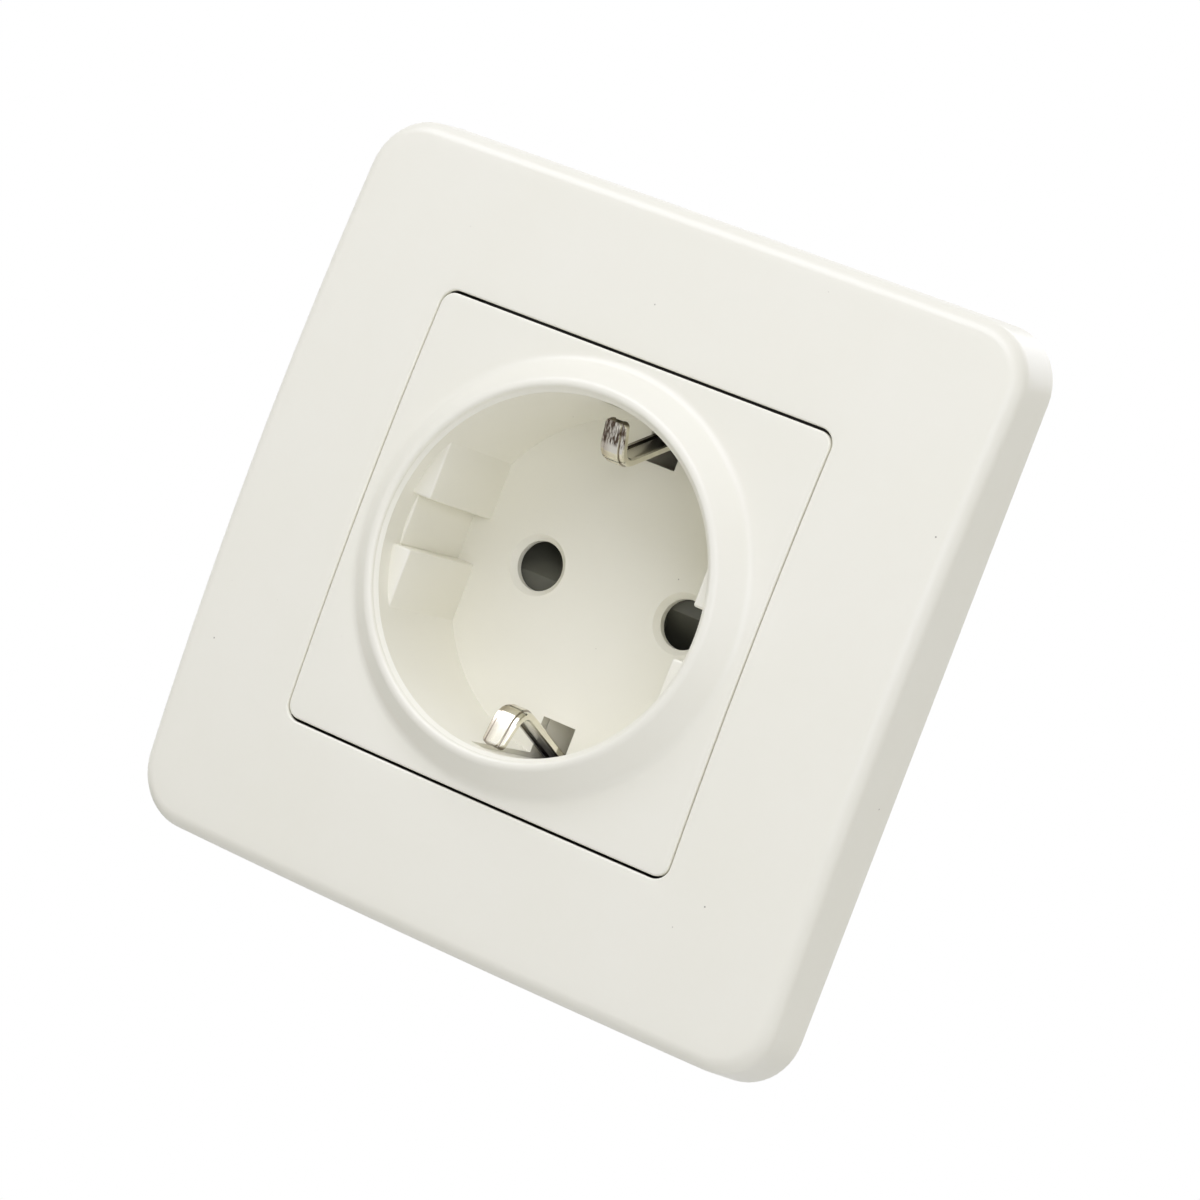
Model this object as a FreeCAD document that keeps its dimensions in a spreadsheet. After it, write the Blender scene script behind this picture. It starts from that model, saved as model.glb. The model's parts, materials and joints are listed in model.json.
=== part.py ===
import FreeCAD, Part
import math
import os
import re

import Sketcher

# Flush wall socket, type F, with its cover frame, one-piece centre plate, turning shutter and base.
# Millimetres. X runs right, Z up, and the front faces -Y. The wall plane is Y = 0, on the well's axis.
# Heights in the names below count from the wall plane towards the front, so a height is -Y.

V = FreeCAD.Vector
doc = FreeCAD.newDocument("wall_socket")

# Driving dimensions
SIZES = {
    # Cover frame
    "frame_corner": 6.5,
    "frame_draft": 3.0,
    "frame_wall": 2.2,
    "frame_bevel": 1.5,
    "frame_top": 4.7,
    "frame_collar_wall": 2.0,
    "ledge_depth": 5.9,
    "ledge_width": 2.0,
    "rib_thickness": 1.2,
    "rib_offset": 14.0,
    "rib_drop": 2.2,
    # Crowned face, shared by the frame and the centre plate
    "face_height": 10.9,
    "crown_radius": 360.0,
    "overlap": 0.3,
    # Centre plate and its well
    "plate_margin": 0.85,
    "plate_corner": 1.6,
    "seam_gap": 0.25,
    "plate_thickness": 3.0,
    "plate_bevel": 0.3,
    "skirt_wall": 1.8,
    "well_radius": 19.5,
    "well_draft": 0.15,
    "well_wall": 1.6,
    "floor_sink": 4.3,
    "floor_wall": 1.5,
    "rim_rise": 2.1,
    "rim_width": 0.8,
    "mouth_chamfer": 0.5,
    "collar_width": 3.9,
    "collar_round": 1.7,
    "collar_cove": 1.3,
    "guide_depth": 2.5,
    "guide_grip": 0.6,
    "guide_drop": 3.0,
    "guide_round": 0.6,
    "channel_width": 5.6,
    "channel_depth": 0.35,
    "channel_drop": 4.3,
    "pin_spacing": 19.0,
    "pin_hole_radius": 2.7,
    "pin_chamfer": 0.7,
    "slot_width": 4.2,
    "slot_reach": 4.1,
    "slot_wall": 1.4,
    "slot_drop": 3.6,
    "clip_room": 1.7,
    # Snap arms that hold the plate behind the support ring
    "arm_width": 8.0,
    "arm_thickness": 1.3,
    "arm_play": 0.3,
    "hook_reach": 0.9,
    "hook_length": 1.8,
    # Shutter and its chamber
    "chamber_margin": 1.5,
    "chamber_wall": 1.1,
    "shutter_gap": 0.25,
    "pivot_radius": 1.8,
    "pivot_play": 0.05,
    "hub_radius": 3.0,
    "wing_play": 0.5,
    "wing_lead": 4.6,
    "wing_trail": 3.2,
    "ramp_start": 1.0,
    "ramp_play": 0.3,
    "wing_skin": 1.6,
    "wing_start": 4.5,
    "wing_edge": 0.9,
    "web_radius": 6.2,
    "web_thickness": 1.8,
    "cover_thickness": 1.4,
    "boss_radius": 2.1,
    "boss_gap": 0.6,
    "boss_angle": 61.8,
    "spring_wire": 0.5,
    "spring_radius": 3.7,
    "spring_turns": 2.25,
    "spring_pitch": 0.9,
    "spring_angle": 100.0,
    "spring_lift": 0.5,
    "spring_room": 0.775,
    "spring_leg": 4.8,
    "peg_radius": 0.6,
    "peg_length": 1.4,
    "peg_play": 0.05,
    "shutter_screw_radius": 0.9,
    "shutter_screw_length": 5.0,
    "shutter_head_radius": 1.7,
    "shutter_head_height": 0.9,
    # Support ring
    "box_slot_width": 4.0,
    "box_slot_length": 5.6,
    "ring_margin": 5.5,
    "ring_play": 4.3,
    "ring_step": 0.3,
    "ring_web": 3.7,
    "ring_thickness": 1.0,
    "ring_bevel": 12.0,
    "lip_length": 20.0,
    "lip_height": 2.0,
    "lip_thickness": 1.0,
    # Base housing
    "base_wall": 1.8,
    "base_corner": 14.0,
    "base_web": 1.6,
    "recess_play": 0.6,
    "recess_room": 1.2,
    "module_play": 0.8,
    "notch_room": 1.0,
    "notch_play": 1.2,
    "chamber_room": 3.1,
    "chamber_skin": 2.2,
    "chamber_half": 4.8,
    "earth_room": 1.6,
    "earth_chamber_half": 5.4,
    "passage_play": 0.5,
    "back_thickness": 1.6,
    "rivet_inset": 3.1,
    "rivet_radius": 1.5,
    "rivet_play": 0.05,
    "rivet_head_radius": 2.5,
    "rivet_head_height": 0.8,
    # Earth bracket
    "strip_width": 2.6,
    "strip_thickness": 0.8,
    "strip_bend": 1.8,
    "strip_play": 0.2,
    "trench_play": 1.0,
    "nose_depth": 5.5,
    "nose_drop": 1.7,
    "tip_depth": 0.9,
    "tip_play": 1.6,
    "leg_depth": 0.4,
    "leg_drop": 1.2,
    "bead_width": 1.6,
    "bead_rise": 0.2,
    "tab_width": 4.0,
    "tab_room": 3.4,
    "tab_play": 0.2,
    # Terminals
    "block_width": 7.0,
    "block_thickness": 6.2,
    "block_height": 8.0,
    "block_gap": 0.4,
    "wire_hole": 1.6,
    "wire_funnel": 2.4,
    "screw_radius": 1.5,
    "screw_play": 0.05,
    "screw_head_radius": 2.3,
    "screw_head_height": 1.6,
    "screw_lift": 0.6,
    "screw_rise": 4.0,
    "screw_slot": 0.8,
    "screw_slot_depth": 0.8,
    "block_chamfer": 0.4,
    "screw_access": 2.6,
    # Live and neutral contacts
    "contact_sheet": 0.7,
    "contact_width": 5.6,
    "contact_gap": 4.9,
    "contact_mouth": 6.6,
    "contact_lead": 1.0,
    "contact_flare": 2.2,
    "contact_length": 9.2,
    "contact_bend": 1.2,
    "contact_room": 2.2,
    "tail_width": 3.2,
    "clip_width": 2.4,
    "clip_sheet": 0.5,
    "clip_play": 0.2,
    "clip_bend": 1.5,
    "clip_toe": 0.8,
}

# Sizes that the driving ones set, each after those that it uses
FOLLOWING = {
    # Heights, counted from the crowned face or from the rim
    "ledge_height": "face_height - ledge_depth",
    "frame_hollow": "face_height - frame_top",
    "rim_height": "face_height + rim_rise",
    "guide_height": "rim_height - guide_drop",
    "channel_height": "rim_height - channel_drop",
    "slot_height": "rim_height - slot_drop",
    "tip_height": "slot_height - tip_play",
    "nose_height": "tip_height - nose_drop",
    # Outwards from the well: plate, guides, clips, slots, base and ring
    "plate_side": "2 * ( well_radius + mouth_chamfer + collar_width + plate_margin )",
    "guide_chord": "well_radius - guide_depth",
    "channel_back": "well_radius - channel_depth",
    "nose_reach": "well_radius - nose_depth",
    "tip_reach": "well_radius - tip_depth",
    "leg_reach": "well_radius - leg_depth",
    "slot_inner": "leg_reach - slot_reach",
    "slot_outer": "leg_reach + strip_thickness / 2 + clip_room",
    "base_recess": "slot_outer + slot_wall + recess_play",
    "ring_opening": "base_recess + ring_step",
    "base_side": "2 * ( base_recess + base_wall )",
    "rivet_offset": "( base_recess + rivet_inset ) * sin( 45 deg )",
    "box_screw_spacing": "2 * ( ring_opening + ring_web ) + box_slot_length",
    "ring_side": "box_screw_spacing + 2 * ring_margin",
    "frame_side": "ring_side + 2 * ring_play + 2 * frame_wall",
    # Round the pin holes: chamber, shutter and passages
    "chamber_radius": "pin_spacing / 2 + pin_hole_radius + chamber_margin",
    "wing_radius": "chamber_radius - wing_play",
    "boss_across": "( chamber_radius - boss_radius - boss_gap ) * cos( boss_angle * 1 deg )",
    "boss_up": "( chamber_radius - boss_radius - boss_gap ) * sin( boss_angle * 1 deg )",
    "pin_passage": "pin_hole_radius + passage_play",
    "base_well": "chamber_radius + chamber_wall + module_play",
    "chamber_inner": "pin_spacing / 2 - contact_width / 2 - chamber_room",
    "chamber_outer": "base_side / 2 - chamber_skin",
    "earth_chamber_floor": "chamber_outer - block_gap - block_thickness - earth_room",
    # Depths, towards the back
    "spring_space": "spring_lift + spring_pitch * spring_turns + spring_wire / 2 + spring_room",
    "chamber_depth": "shutter_gap + web_thickness + spring_space",
    "ramp_rise": "chamber_depth - 2 * shutter_gap - wing_edge - ramp_play",
    "leg_height": "0 - floor_sink - floor_wall - leg_drop",
    "base_recess_depth": "floor_sink + floor_wall + recess_room",
    "strip_space": "strip_thickness + bead_rise + strip_play",
    "base_well_depth": "floor_sink + floor_wall + chamber_depth + cover_thickness + strip_space",
    "contact_space": "contact_lead + contact_length + contact_room",
    "base_depth": "base_well_depth + base_web + contact_space",
    "tab_length": "base_depth - base_well_depth + strip_thickness / 2 - tab_room",
    "notch_width": "arm_width + notch_play",
    "wall_notch": "hook_length + notch_room",
}

sheet = doc.addObject("Spreadsheet::Sheet", "Sizes")
ALIASES = list(SIZES) + list(FOLLOWING)
for row, alias in enumerate(ALIASES, start=1):
    sheet.set("A%d" % row, alias)
    sheet.set("B%d" % row, str(SIZES[alias]) if alias in SIZES else "=" + FOLLOWING[alias])
    sheet.setAlias("B%d" % row, alias)
doc.recompute()


def value(expression):
    """The number that an expression over the sheet's aliases comes to."""
    result = sheet.evalExpression(expression)
    return float(getattr(result, "Value", result))


def linked(expression):
    """The same expression, written so that another object can follow the sheet."""
    return re.sub("[a-z_]+", lambda word: ("Sizes." if word[0] in ALIASES else "") + word[0], expression)


def bind(item, setting, expression):
    item.setExpression(setting, linked(expression))


# Sketches
def new_body(name):
    body = doc.addObject("PartDesign::Body", name)
    body.Label = name
    return body


def origin_item(body, role):
    return [item for item in body.Origin.OriginFeatures if item.Role == role][0]


def new_sketch(body, name, role="XZ_Plane", height="0"):
    """A sketch on one of the body's own planes, or at a height off it. On XZ heights run to the front."""
    sketch = body.newObject("Sketcher::SketchObject", name)
    sketch.AttachmentSupport = [(origin_item(body, role), "")]
    sketch.MapMode = "FlatFace"
    if height != "0":
        bind(sketch, "AttachmentOffset.Base.z", height)
    return sketch


def constrain(sketch, wanted):
    """Add constraints together, and tie to the sheet each one that has an expression."""
    first = sketch.ConstraintCount
    sketch.addConstraint([constraint for constraint, expression in wanted])
    for index, (constraint, expression) in enumerate(wanted, start=first):
        if expression not in (None, "0"):
            sketch.setExpression("Constraints[%d]" % index, linked(expression))


def point_at(geometry, position, across, up):
    """Constraints that tie a sketch point to the origin by two sizes."""
    return [
        (Sketcher.Constraint(kind, -1, 1, geometry, position, value(expression)), expression)
        for kind, expression in (("DistanceX", across), ("DistanceY", up))
    ]


def radius_of(geometry, radius):
    return [(Sketcher.Constraint("Radius", geometry, value(radius)), radius)]


def arc_between(start, end, radius, turn):
    """The short arc of a radius from start to end."""
    chord = end.sub(start)
    half = chord.Length / 2
    rise = math.sqrt(radius * radius - half * half)
    side = V(-chord.y, chord.x, 0).normalize()
    middle = start.add(end).multiply(0.5)
    centre = middle.add(side.multiply(rise if turn == "left" else -rise))
    first, last = (start, end) if turn == "left" else (end, start)
    ring = Part.Circle(centre, V(0, 0, 1), radius)
    return Part.ArcOfCircle(ring, ring.parameter(first), ring.parameter(last))


def outline(sketch, corners):
    """A closed outline. A corner is (across, up). With a radius and "left" or "right" added, an arc leads
    on from it and turns that way."""
    spots = [V(value(corner[0]), value(corner[1]), 0) for corner in corners]
    first = sketch.GeometryCount
    count = len(corners)
    shapes = []
    for index, corner in enumerate(corners):
        start, end = spots[index], spots[(index + 1) % count]
        if len(corner) == 2:
            shapes.append(Part.LineSegment(start, end))
        else:
            shapes.append(arc_between(start, end, value(corner[2]), corner[3]))
    sketch.addGeometry(shapes, False)
    # An arc that turns right is stored end first
    starts = [2 if corner[-1] == "right" else 1 for corner in corners]
    wanted = []
    for index, corner in enumerate(corners):
        geometry = first + index
        following = (index + 1) % count
        joined = Sketcher.Constraint(
            "Coincident", geometry, 3 - starts[index], first + following, starts[following]
        )
        wanted += point_at(geometry, starts[index], corner[0], corner[1])
        wanted.append((joined, None))
        if len(corner) > 2:
            wanted += radius_of(geometry, corner[2])
    constrain(sketch, wanted)


def bent_line(sketch, points, bend):
    """An open line through points, with a tangent arc at each bend."""
    spots = [V(value(across), value(up), 0) for across, up in points]
    ways = [after.sub(before).normalize() for before, after in zip(spots, spots[1:])]
    radius = value(bend)
    shapes = []
    turns = []
    start = spots[0]
    for corner, way, onward in zip(spots[1:], ways, ways[1:]):
        trim = radius * math.tan(way.getAngle(onward) / 2)
        first = corner.sub(V(way).multiply(trim))
        last = corner.add(V(onward).multiply(trim))
        turns.append("left" if way.cross(onward).z > 0 else "right")
        shapes.append(Part.LineSegment(start, first))
        shapes.append(arc_between(first, last, radius, turns[-1]))
        start = last
    shapes.append(Part.LineSegment(start, spots[-1]))
    sketch.addGeometry(shapes, False)
    marks = [Part.Point(spot) for spot in spots[1:-1]]
    sketch.addGeometry(marks, True)
    wanted = point_at(0, 1, *points[0]) + point_at(len(shapes) - 1, 2, *points[-1])
    for index, turn in enumerate(turns):
        line, arc, onward = 2 * index, 2 * index + 1, 2 * index + 2
        mark = len(shapes) + index
        arc_start = 1 if turn == "left" else 2
        wanted += [
            (Sketcher.Constraint("Tangent", line, 2, arc, arc_start), None),
            (Sketcher.Constraint("Tangent", arc, 3 - arc_start, onward, 1), None),
            (Sketcher.Constraint("PointOnObject", mark, 1, line), None),
            (Sketcher.Constraint("PointOnObject", mark, 1, onward), None),
        ]
        wanted += point_at(mark, 1, *points[index + 1]) + radius_of(arc, bend)
    constrain(sketch, wanted)


def rectangle(sketch, left, bottom, right, top):
    outline(sketch, [(left, bottom), (right, bottom), (right, top), (left, top)])


def rounded_square(sketch, side, corner):
    """A square about the origin with round corners."""
    half = "( %s ) / 2" % side
    flat = "( %s ) / 2 - ( %s )" % (side, corner)
    minus_half = "0 - ( %s ) / 2" % side
    minus_flat = "( %s ) - ( %s ) / 2" % (corner, side)
    outline(sketch, [
        (minus_flat, minus_half),
        (flat, minus_half, corner, "left"),
        (half, minus_flat),
        (half, flat, corner, "left"),
        (flat, half),
        (minus_flat, half, corner, "left"),
        (minus_half, flat),
        (minus_half, minus_flat, corner, "left"),
    ])


def chords(across, up, radius, angles):
    """Corners on an arc about a centre, for an outline."""
    spot = "%s + %s * %s( %d deg )"
    return [
        (spot % (across, radius, "cos", angle), spot % (up, radius, "sin", angle)) for angle in angles
    ]


def circle(sketch, across, up, radius):
    spot = V(value(across), value(up), 0)
    geometry = sketch.addGeometry(Part.Circle(spot, V(0, 0, 1), value(radius)), False)
    constrain(sketch, point_at(geometry, 3, across, up) + radius_of(geometry, radius))


def pair_of_circles(sketch, radius, across="( pin_spacing / 2 )", up="0"):
    """Two circles that face each other through the axis."""
    circle(sketch, across, up, radius)
    circle(sketch, "0 - " + across, "0 - " + up, radius)


def rivet_circles(sketch, radius):
    """A circle at each rivet, in two opposite corners."""
    pair_of_circles(sketch, radius, "rivet_offset", "rivet_offset")


# Features
def pad(body, name, sketch, length, towards_back=False, taper=None, midplane=False):
    feature = body.newObject("PartDesign::Pad", name)
    feature.Profile = sketch
    bind(feature, "Length", length)
    feature.Reversed = towards_back
    feature.Midplane = midplane
    if taper:
        bind(feature, "TaperAngle", taper)
    sketch.Visibility = False
    doc.recompute()
    return feature


def pocket(body, name, sketch, length, towards_front=False, midplane=False):
    """Cuts towards the back, unless told to cut towards the front. It must take something away."""
    before = body.Shape.Volume
    feature = body.newObject("PartDesign::Pocket", name)
    feature.Profile = sketch
    bind(feature, "Length", length)
    feature.Reversed = towards_front
    feature.Midplane = midplane
    doc.recompute()
    must_cut(name, before, feature.Shape.Volume)
    return feature


def spin(body, kind, name, sketch, axis="V_Axis", angle=360):
    """A Revolution or a Groove about one of its sketch's axes. Less than a full turn goes both ways."""
    before = body.Shape.Volume if body.Tip else 0
    feature = body.newObject("PartDesign::" + kind, name)
    feature.Profile = sketch
    feature.ReferenceAxis = (sketch, [axis])
    feature.Midplane = angle < 360
    feature.Angle = angle
    doc.recompute()
    if kind == "Groove":
        must_cut(name, before, feature.Shape.Volume)
    return feature


def must_cut(name, before, after):
    if not after < before - LEAST_CUT:
        raise RuntimeError("%s takes nothing away" % name)


def edges_where(feature, test):
    """Names of a feature's edges that pass a test."""
    names = []
    for index, edge in enumerate(feature.Shape.Edges, start=1):
        if test(edge):
            names.append("Edge%d" % index)
    return names


def round_edges(body, name, feature, test, radius, kind="Fillet"):
    names = edges_where(feature, test)
    if not names:
        raise RuntimeError("%s finds no edge" % name)
    dressed = body.newObject("PartDesign::" + kind, name)
    dressed.Base = (feature, names)
    bind(dressed, "Radius" if kind == "Fillet" else "Size", radius)
    doc.recompute()
    return dressed


def repeat(body, name, features, count):
    """Polar copies of features about the well's axis."""
    pattern = body.newObject("PartDesign::PolarPattern", name)
    pattern.Originals = features
    pattern.Axis = (origin_item(body, "Y_Axis"), [""])
    pattern.Angle = 360
    pattern.Occurrences = count
    body.Tip = pattern
    doc.recompute()
    return pattern


def mirror(body, name, features, role):
    """A mirrored copy of features in one of the body's planes."""
    copy = body.newObject("PartDesign::Mirrored", name)
    copy.Originals = features
    copy.MirrorPlane = (origin_item(body, role), [""])
    body.Tip = copy
    doc.recompute()
    return copy


def heights_of(edge):
    return [-vertex.Point.y for vertex in edge.Vertexes]


# Heights and places that several pieces share
FLOOR_BACK = "( 0 - floor_sink - floor_wall )"
CHAMBER_BACK = "( 0 - floor_sink - floor_wall - chamber_depth )"
MODULE_BACK = "( 0 - floor_sink - floor_wall - chamber_depth - cover_thickness )"
MODULE_RADIUS = "( chamber_radius + chamber_wall )"
OPENING_SIDE = "( plate_side + 2 * seam_gap )"
OPENING_CORNER = "( plate_corner + seam_gap )"
COLLAR_SIDE = "( plate_side + 2 * seam_gap + 2 * frame_collar_wall )"
WELL_OUTER = "( well_radius + well_wall )"
RIM_CREST = "( well_radius + mouth_chamfer + rim_width )"
COLLAR_FOOT = "( well_radius + mouth_chamfer + collar_width )"
PIN_REACH = "( pin_spacing / 2 )"
WIRE_REACH = "( chamber_outer - block_gap - block_thickness / 2 )"
BLOCK_INNER = "( chamber_outer - block_gap - block_thickness )"
BLOCK_OUTER = "( chamber_outer - block_gap )"
CONTACT_FRONT = "( base_well_depth + base_web + contact_lead )"
CONTACT_BACK = "( base_well_depth + base_web + contact_lead + contact_length )"
SCREW_HEIGHT = "( screw_rise - base_depth )"
STRIP_HEIGHT = "( strip_thickness / 2 - base_well_depth )"
RIVET_HOLE = "rivet_radius + rivet_play"
ARM_OUTER = "( plate_side / 2 + seam_gap - ledge_width - arm_play )"

# Degrees that the crown's cut sweeps, and its reach as a share of the piece's side
CROWN_SWEEP = 30
CROWN_REACH = 0.75
SPRING_SIDES = 6

# How near, in millimetres, an edge lies to the place where it is looked for
TOUCH = 0.01
LEAST_CUT = 1e-6


def crown_height(radius):
    """The crowned face's height at a distance from the axis."""
    return "( face_height - crown_radius + sqrt( crown_radius ^ 2 - ( %s ) ^ 2 ) )" % radius


def cut_crown(body, side):
    """Take away all that stands in front of the crowned face. Its sphere turns about an axis along X."""
    sketch = new_sketch(body, "crown_section", "XY_Plane")
    bind(sketch, "AttachmentOffset.Base.y", "crown_radius - face_height")
    reach = "( %s * %s )" % (side, CROWN_REACH)
    edge = "sqrt( crown_radius ^ 2 - %s ^ 2 )" % reach
    front = "0 - crown_radius - face_height"
    outline(sketch, [
        ("0 - " + reach, "0 - " + edge, "crown_radius", "left"),
        (reach, "0 - " + edge),
        (reach, front),
        ("0 - " + reach, front),
    ])
    return spin(body, "Groove", "crown", sketch, axis="H_Axis", angle=CROWN_SWEEP)


def make_cover_frame():
    body = new_body("cover_frame")
    base = new_sketch(body, "outline")
    rounded_square(base, "frame_side", "frame_corner")
    pad(body, "block", base, "face_height + overlap", taper="0 - frame_draft")
    face = cut_crown(body, "frame_side")
    inner = value("frame_side / 2 - frame_corner")
    low = value("face_height") / 3

    def on_front_edge(edge):
        outside = all(max(abs(v.Point.x), abs(v.Point.z)) > inner for v in edge.Vertexes)
        return outside and min(heights_of(edge)) > low and len(edge.Vertexes) == 2

    round_edges(body, "front_bevel", face, on_front_edge, "frame_bevel", kind="Chamfer")

    recess = new_sketch(body, "ring_recess_outline")
    rounded_square(recess, "frame_side - 2 * frame_wall", "frame_corner - frame_wall")
    pocket(body, "ring_recess", recess, "ring_thickness", towards_front=True)

    hollow = new_sketch(body, "hollow_outline", height="ring_thickness")
    rounded_square(hollow, "frame_side - 2 * frame_wall", "frame_corner - frame_wall")
    rounded_square(hollow, COLLAR_SIDE, OPENING_CORNER + " + frame_collar_wall")
    pocket(body, "hollow", hollow, "frame_hollow - ring_thickness", towards_front=True)

    opening = new_sketch(body, "opening_outline", height="ledge_height")
    rounded_square(opening, OPENING_SIDE, OPENING_CORNER)
    pocket(body, "opening", opening, "face_height", towards_front=True)

    ledge = new_sketch(body, "ledge_outline")
    rounded_square(ledge, "plate_side + 2 * seam_gap - 2 * ledge_width", "plate_corner")
    pocket(body, "ledge", ledge, "face_height + overlap", towards_front=True)

    ribs = new_sketch(body, "rib_outline", height="rib_drop")
    near = COLLAR_SIDE + " / 2 - overlap"
    far = "frame_side / 2 - frame_wall + overlap"
    for sign in ("", "0 - "):
        middle = "%srib_offset" % sign
        rectangle(ribs, middle + " - rib_thickness / 2", near, middle + " + rib_thickness / 2", far)
    rib = pad(body, "ribs", ribs, "frame_hollow - rib_drop + overlap")
    repeat(body, "rib_pattern", [rib], 4)
    return body


def make_centre_plate():
    body = new_body("centre_plate")
    base = new_sketch(body, "plate_outline", height="ledge_height")
    rounded_square(base, "plate_side", "plate_corner")
    circle(base, "0", "0", WELL_OUTER)
    pad(body, "plate_block", base, "face_height + overlap - ledge_height")
    face = cut_crown(body, "plate_side")
    inner = value("plate_side / 2 - plate_corner")
    low = value("( ledge_height + face_height ) / 2")

    def on_front_edge(edge):
        outside = all(max(abs(v.Point.x), abs(v.Point.z)) > inner for v in edge.Vertexes)
        return outside and min(heights_of(edge)) > low and len(edge.Vertexes) == 2

    round_edges(body, "plate_bevel_edges", face, on_front_edge, "plate_bevel", kind="Chamfer")
    hollow = new_sketch(body, "skirt_inside", height="ledge_height")
    rounded_square(hollow, "plate_side - 2 * skirt_wall", "plate_corner")
    circle(hollow, "0", "0", WELL_OUTER)
    depth = "face_height - ledge_height - plate_thickness"
    pocket(body, "skirt_hollow", hollow, depth, towards_front=True)

    # Cup, rim and the collar's fall to the face, turned as one section
    cup = new_sketch(body, "cup_section", "XY_Plane")
    under = "0 - ( face_height - plate_thickness + overlap )"
    shoulder = "( collar_round - rim_height )"
    cove_centre = "( %s + collar_round + collar_cove )" % RIM_CREST
    outline(cup, [
        ("0", "floor_sink"),
        ("well_radius - well_draft", "floor_sink"),
        ("well_radius", "0 - ( rim_height - rim_width ) + mouth_chamfer"),
        *chords(RIM_CREST, "( rim_width - rim_height )", "rim_width", (210,)),
        *chords(RIM_CREST, shoulder, "collar_round", (270, 315, 360)),
        *chords(cove_centre, shoulder, "collar_cove", (150,)),
        (COLLAR_FOOT, "0 - " + crown_height(COLLAR_FOOT)),
        (COLLAR_FOOT, under),
        (WELL_OUTER, under),
        (WELL_OUTER, "floor_sink + floor_wall"),
        ("0", "floor_sink + floor_wall"),
    ])
    spin(body, "Revolution", "cup", cup)
    add_clip_pockets(body)
    add_guides(body)
    add_pin_holes(body)
    add_shutter_chamber(body)
    add_snap_arms(body)
    return body


def add_clip_pockets(body):
    """Slots through the floor, with pockets in the well's wall for the earth clips to give into."""
    boss = new_sketch(body, "pocket_boss_outline", height=FLOOR_BACK)
    half = "slot_width / 2 + slot_wall"
    rectangle(boss, "0 - ( %s )" % half, "well_radius + overlap", half, "slot_outer + slot_wall")
    boss_height = "face_height - plate_thickness + overlap + floor_sink + floor_wall"
    walls = pad(body, "pocket_boss", boss, boss_height)
    mirror(body, "pocket_boss_pair", [walls], "XY_Plane")
    slot = new_sketch(body, "slot_outline", height=FLOOR_BACK)
    rectangle(slot, "0 - slot_width / 2", "slot_inner", "slot_width / 2", "slot_outer")
    cut = pocket(body, "slot", slot, "slot_height + floor_sink + floor_wall", towards_front=True)
    mirror(body, "slot_pair", [cut], "XY_Plane")


def add_guides(body):
    """Two flat-faced guides on each side of the well, with a channel between them."""
    foot = "0 - floor_sink - overlap"
    reach = "( well_radius + guide_grip )"
    guides = new_sketch(body, "guide_outline", height=foot)
    for side in (1, -1):
        for up in (1, -1):
            across = "%d * " % side
            along = "%d * " % up
            turn = "left" if side == up else "right"
            outline(guides, [
                (across + "guide_chord", along + "channel_width / 2"),
                (across + "sqrt( %s ^ 2 - ( channel_width / 2 ) ^ 2 )" % reach,
                 along + "channel_width / 2", reach, turn),
                (across + "guide_chord", along + "sqrt( %s ^ 2 - guide_chord ^ 2 )" % reach),
            ])
    blocks = pad(body, "guides", guides, "guide_height + floor_sink + overlap")
    top = value("guide_height")
    chord = value("guide_chord")
    half = value("channel_width") / 2

    def on_guide_shoulder(edge):
        level = all(abs(height - top) < TOUCH for height in heights_of(edge))
        at_chord = all(abs(abs(v.Point.x) - chord) < TOUCH for v in edge.Vertexes)
        at_channel = all(abs(abs(v.Point.z) - half) < TOUCH for v in edge.Vertexes)
        return (level and (at_chord or at_channel)) or (at_chord and at_channel)

    round_edges(body, "guide_shoulders", blocks, on_guide_shoulder, "guide_round", kind="Chamfer")
    backs = new_sketch(body, "channel_back_outline", height=foot)
    for side in ("", "0 - "):
        near, far = side + "channel_back", side + reach
        left, right = (near, far) if side == "" else (far, near)
        rectangle(backs, left, "0 - channel_width / 2", right, "channel_width / 2")
    pad(body, "channel_backs", backs, "channel_height + floor_sink + overlap")


def add_pin_holes(body):
    holes = new_sketch(body, "pin_hole_outline", height="0 - floor_sink")
    pair_of_circles(holes, "pin_hole_radius")
    cut = pocket(body, "pin_holes", holes, "floor_wall + overlap")
    radius = value("pin_hole_radius")
    level = value("floor_sink")

    def on_hole_mouth(edge):
        whole = len(edge.Vertexes) == 1 and abs(edge.Length - 2 * math.pi * radius) < TOUCH
        return whole and abs(edge.Vertexes[0].Point.y - level) < TOUCH

    round_edges(body, "pin_hole_mouths", cut, on_hole_mouth, "pin_chamfer", kind="Chamfer")


def add_shutter_chamber(body):
    """A round wall, two screw bosses and the shutter's pivot, all on the back of the well's floor."""
    walls = new_sketch(body, "chamber_outline", height=FLOOR_BACK)
    circle(walls, "0", "0", MODULE_RADIUS)
    circle(walls, "0", "0", "chamber_radius")
    circle(walls, "0", "0", "pivot_radius")
    pair_of_circles(walls, "boss_radius", "( 0 - boss_across )", "boss_up")
    pad(body, "chamber", walls, "chamber_depth", towards_back=True)
    pilots = new_sketch(body, "pilot_outline", height=CHAMBER_BACK)
    pair_of_circles(pilots, "shutter_screw_radius + screw_play", "( 0 - boss_across )", "boss_up")
    depth = "shutter_screw_length - cover_thickness + overlap"
    pocket(body, "pilots", pilots, depth, towards_front=True)


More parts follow.
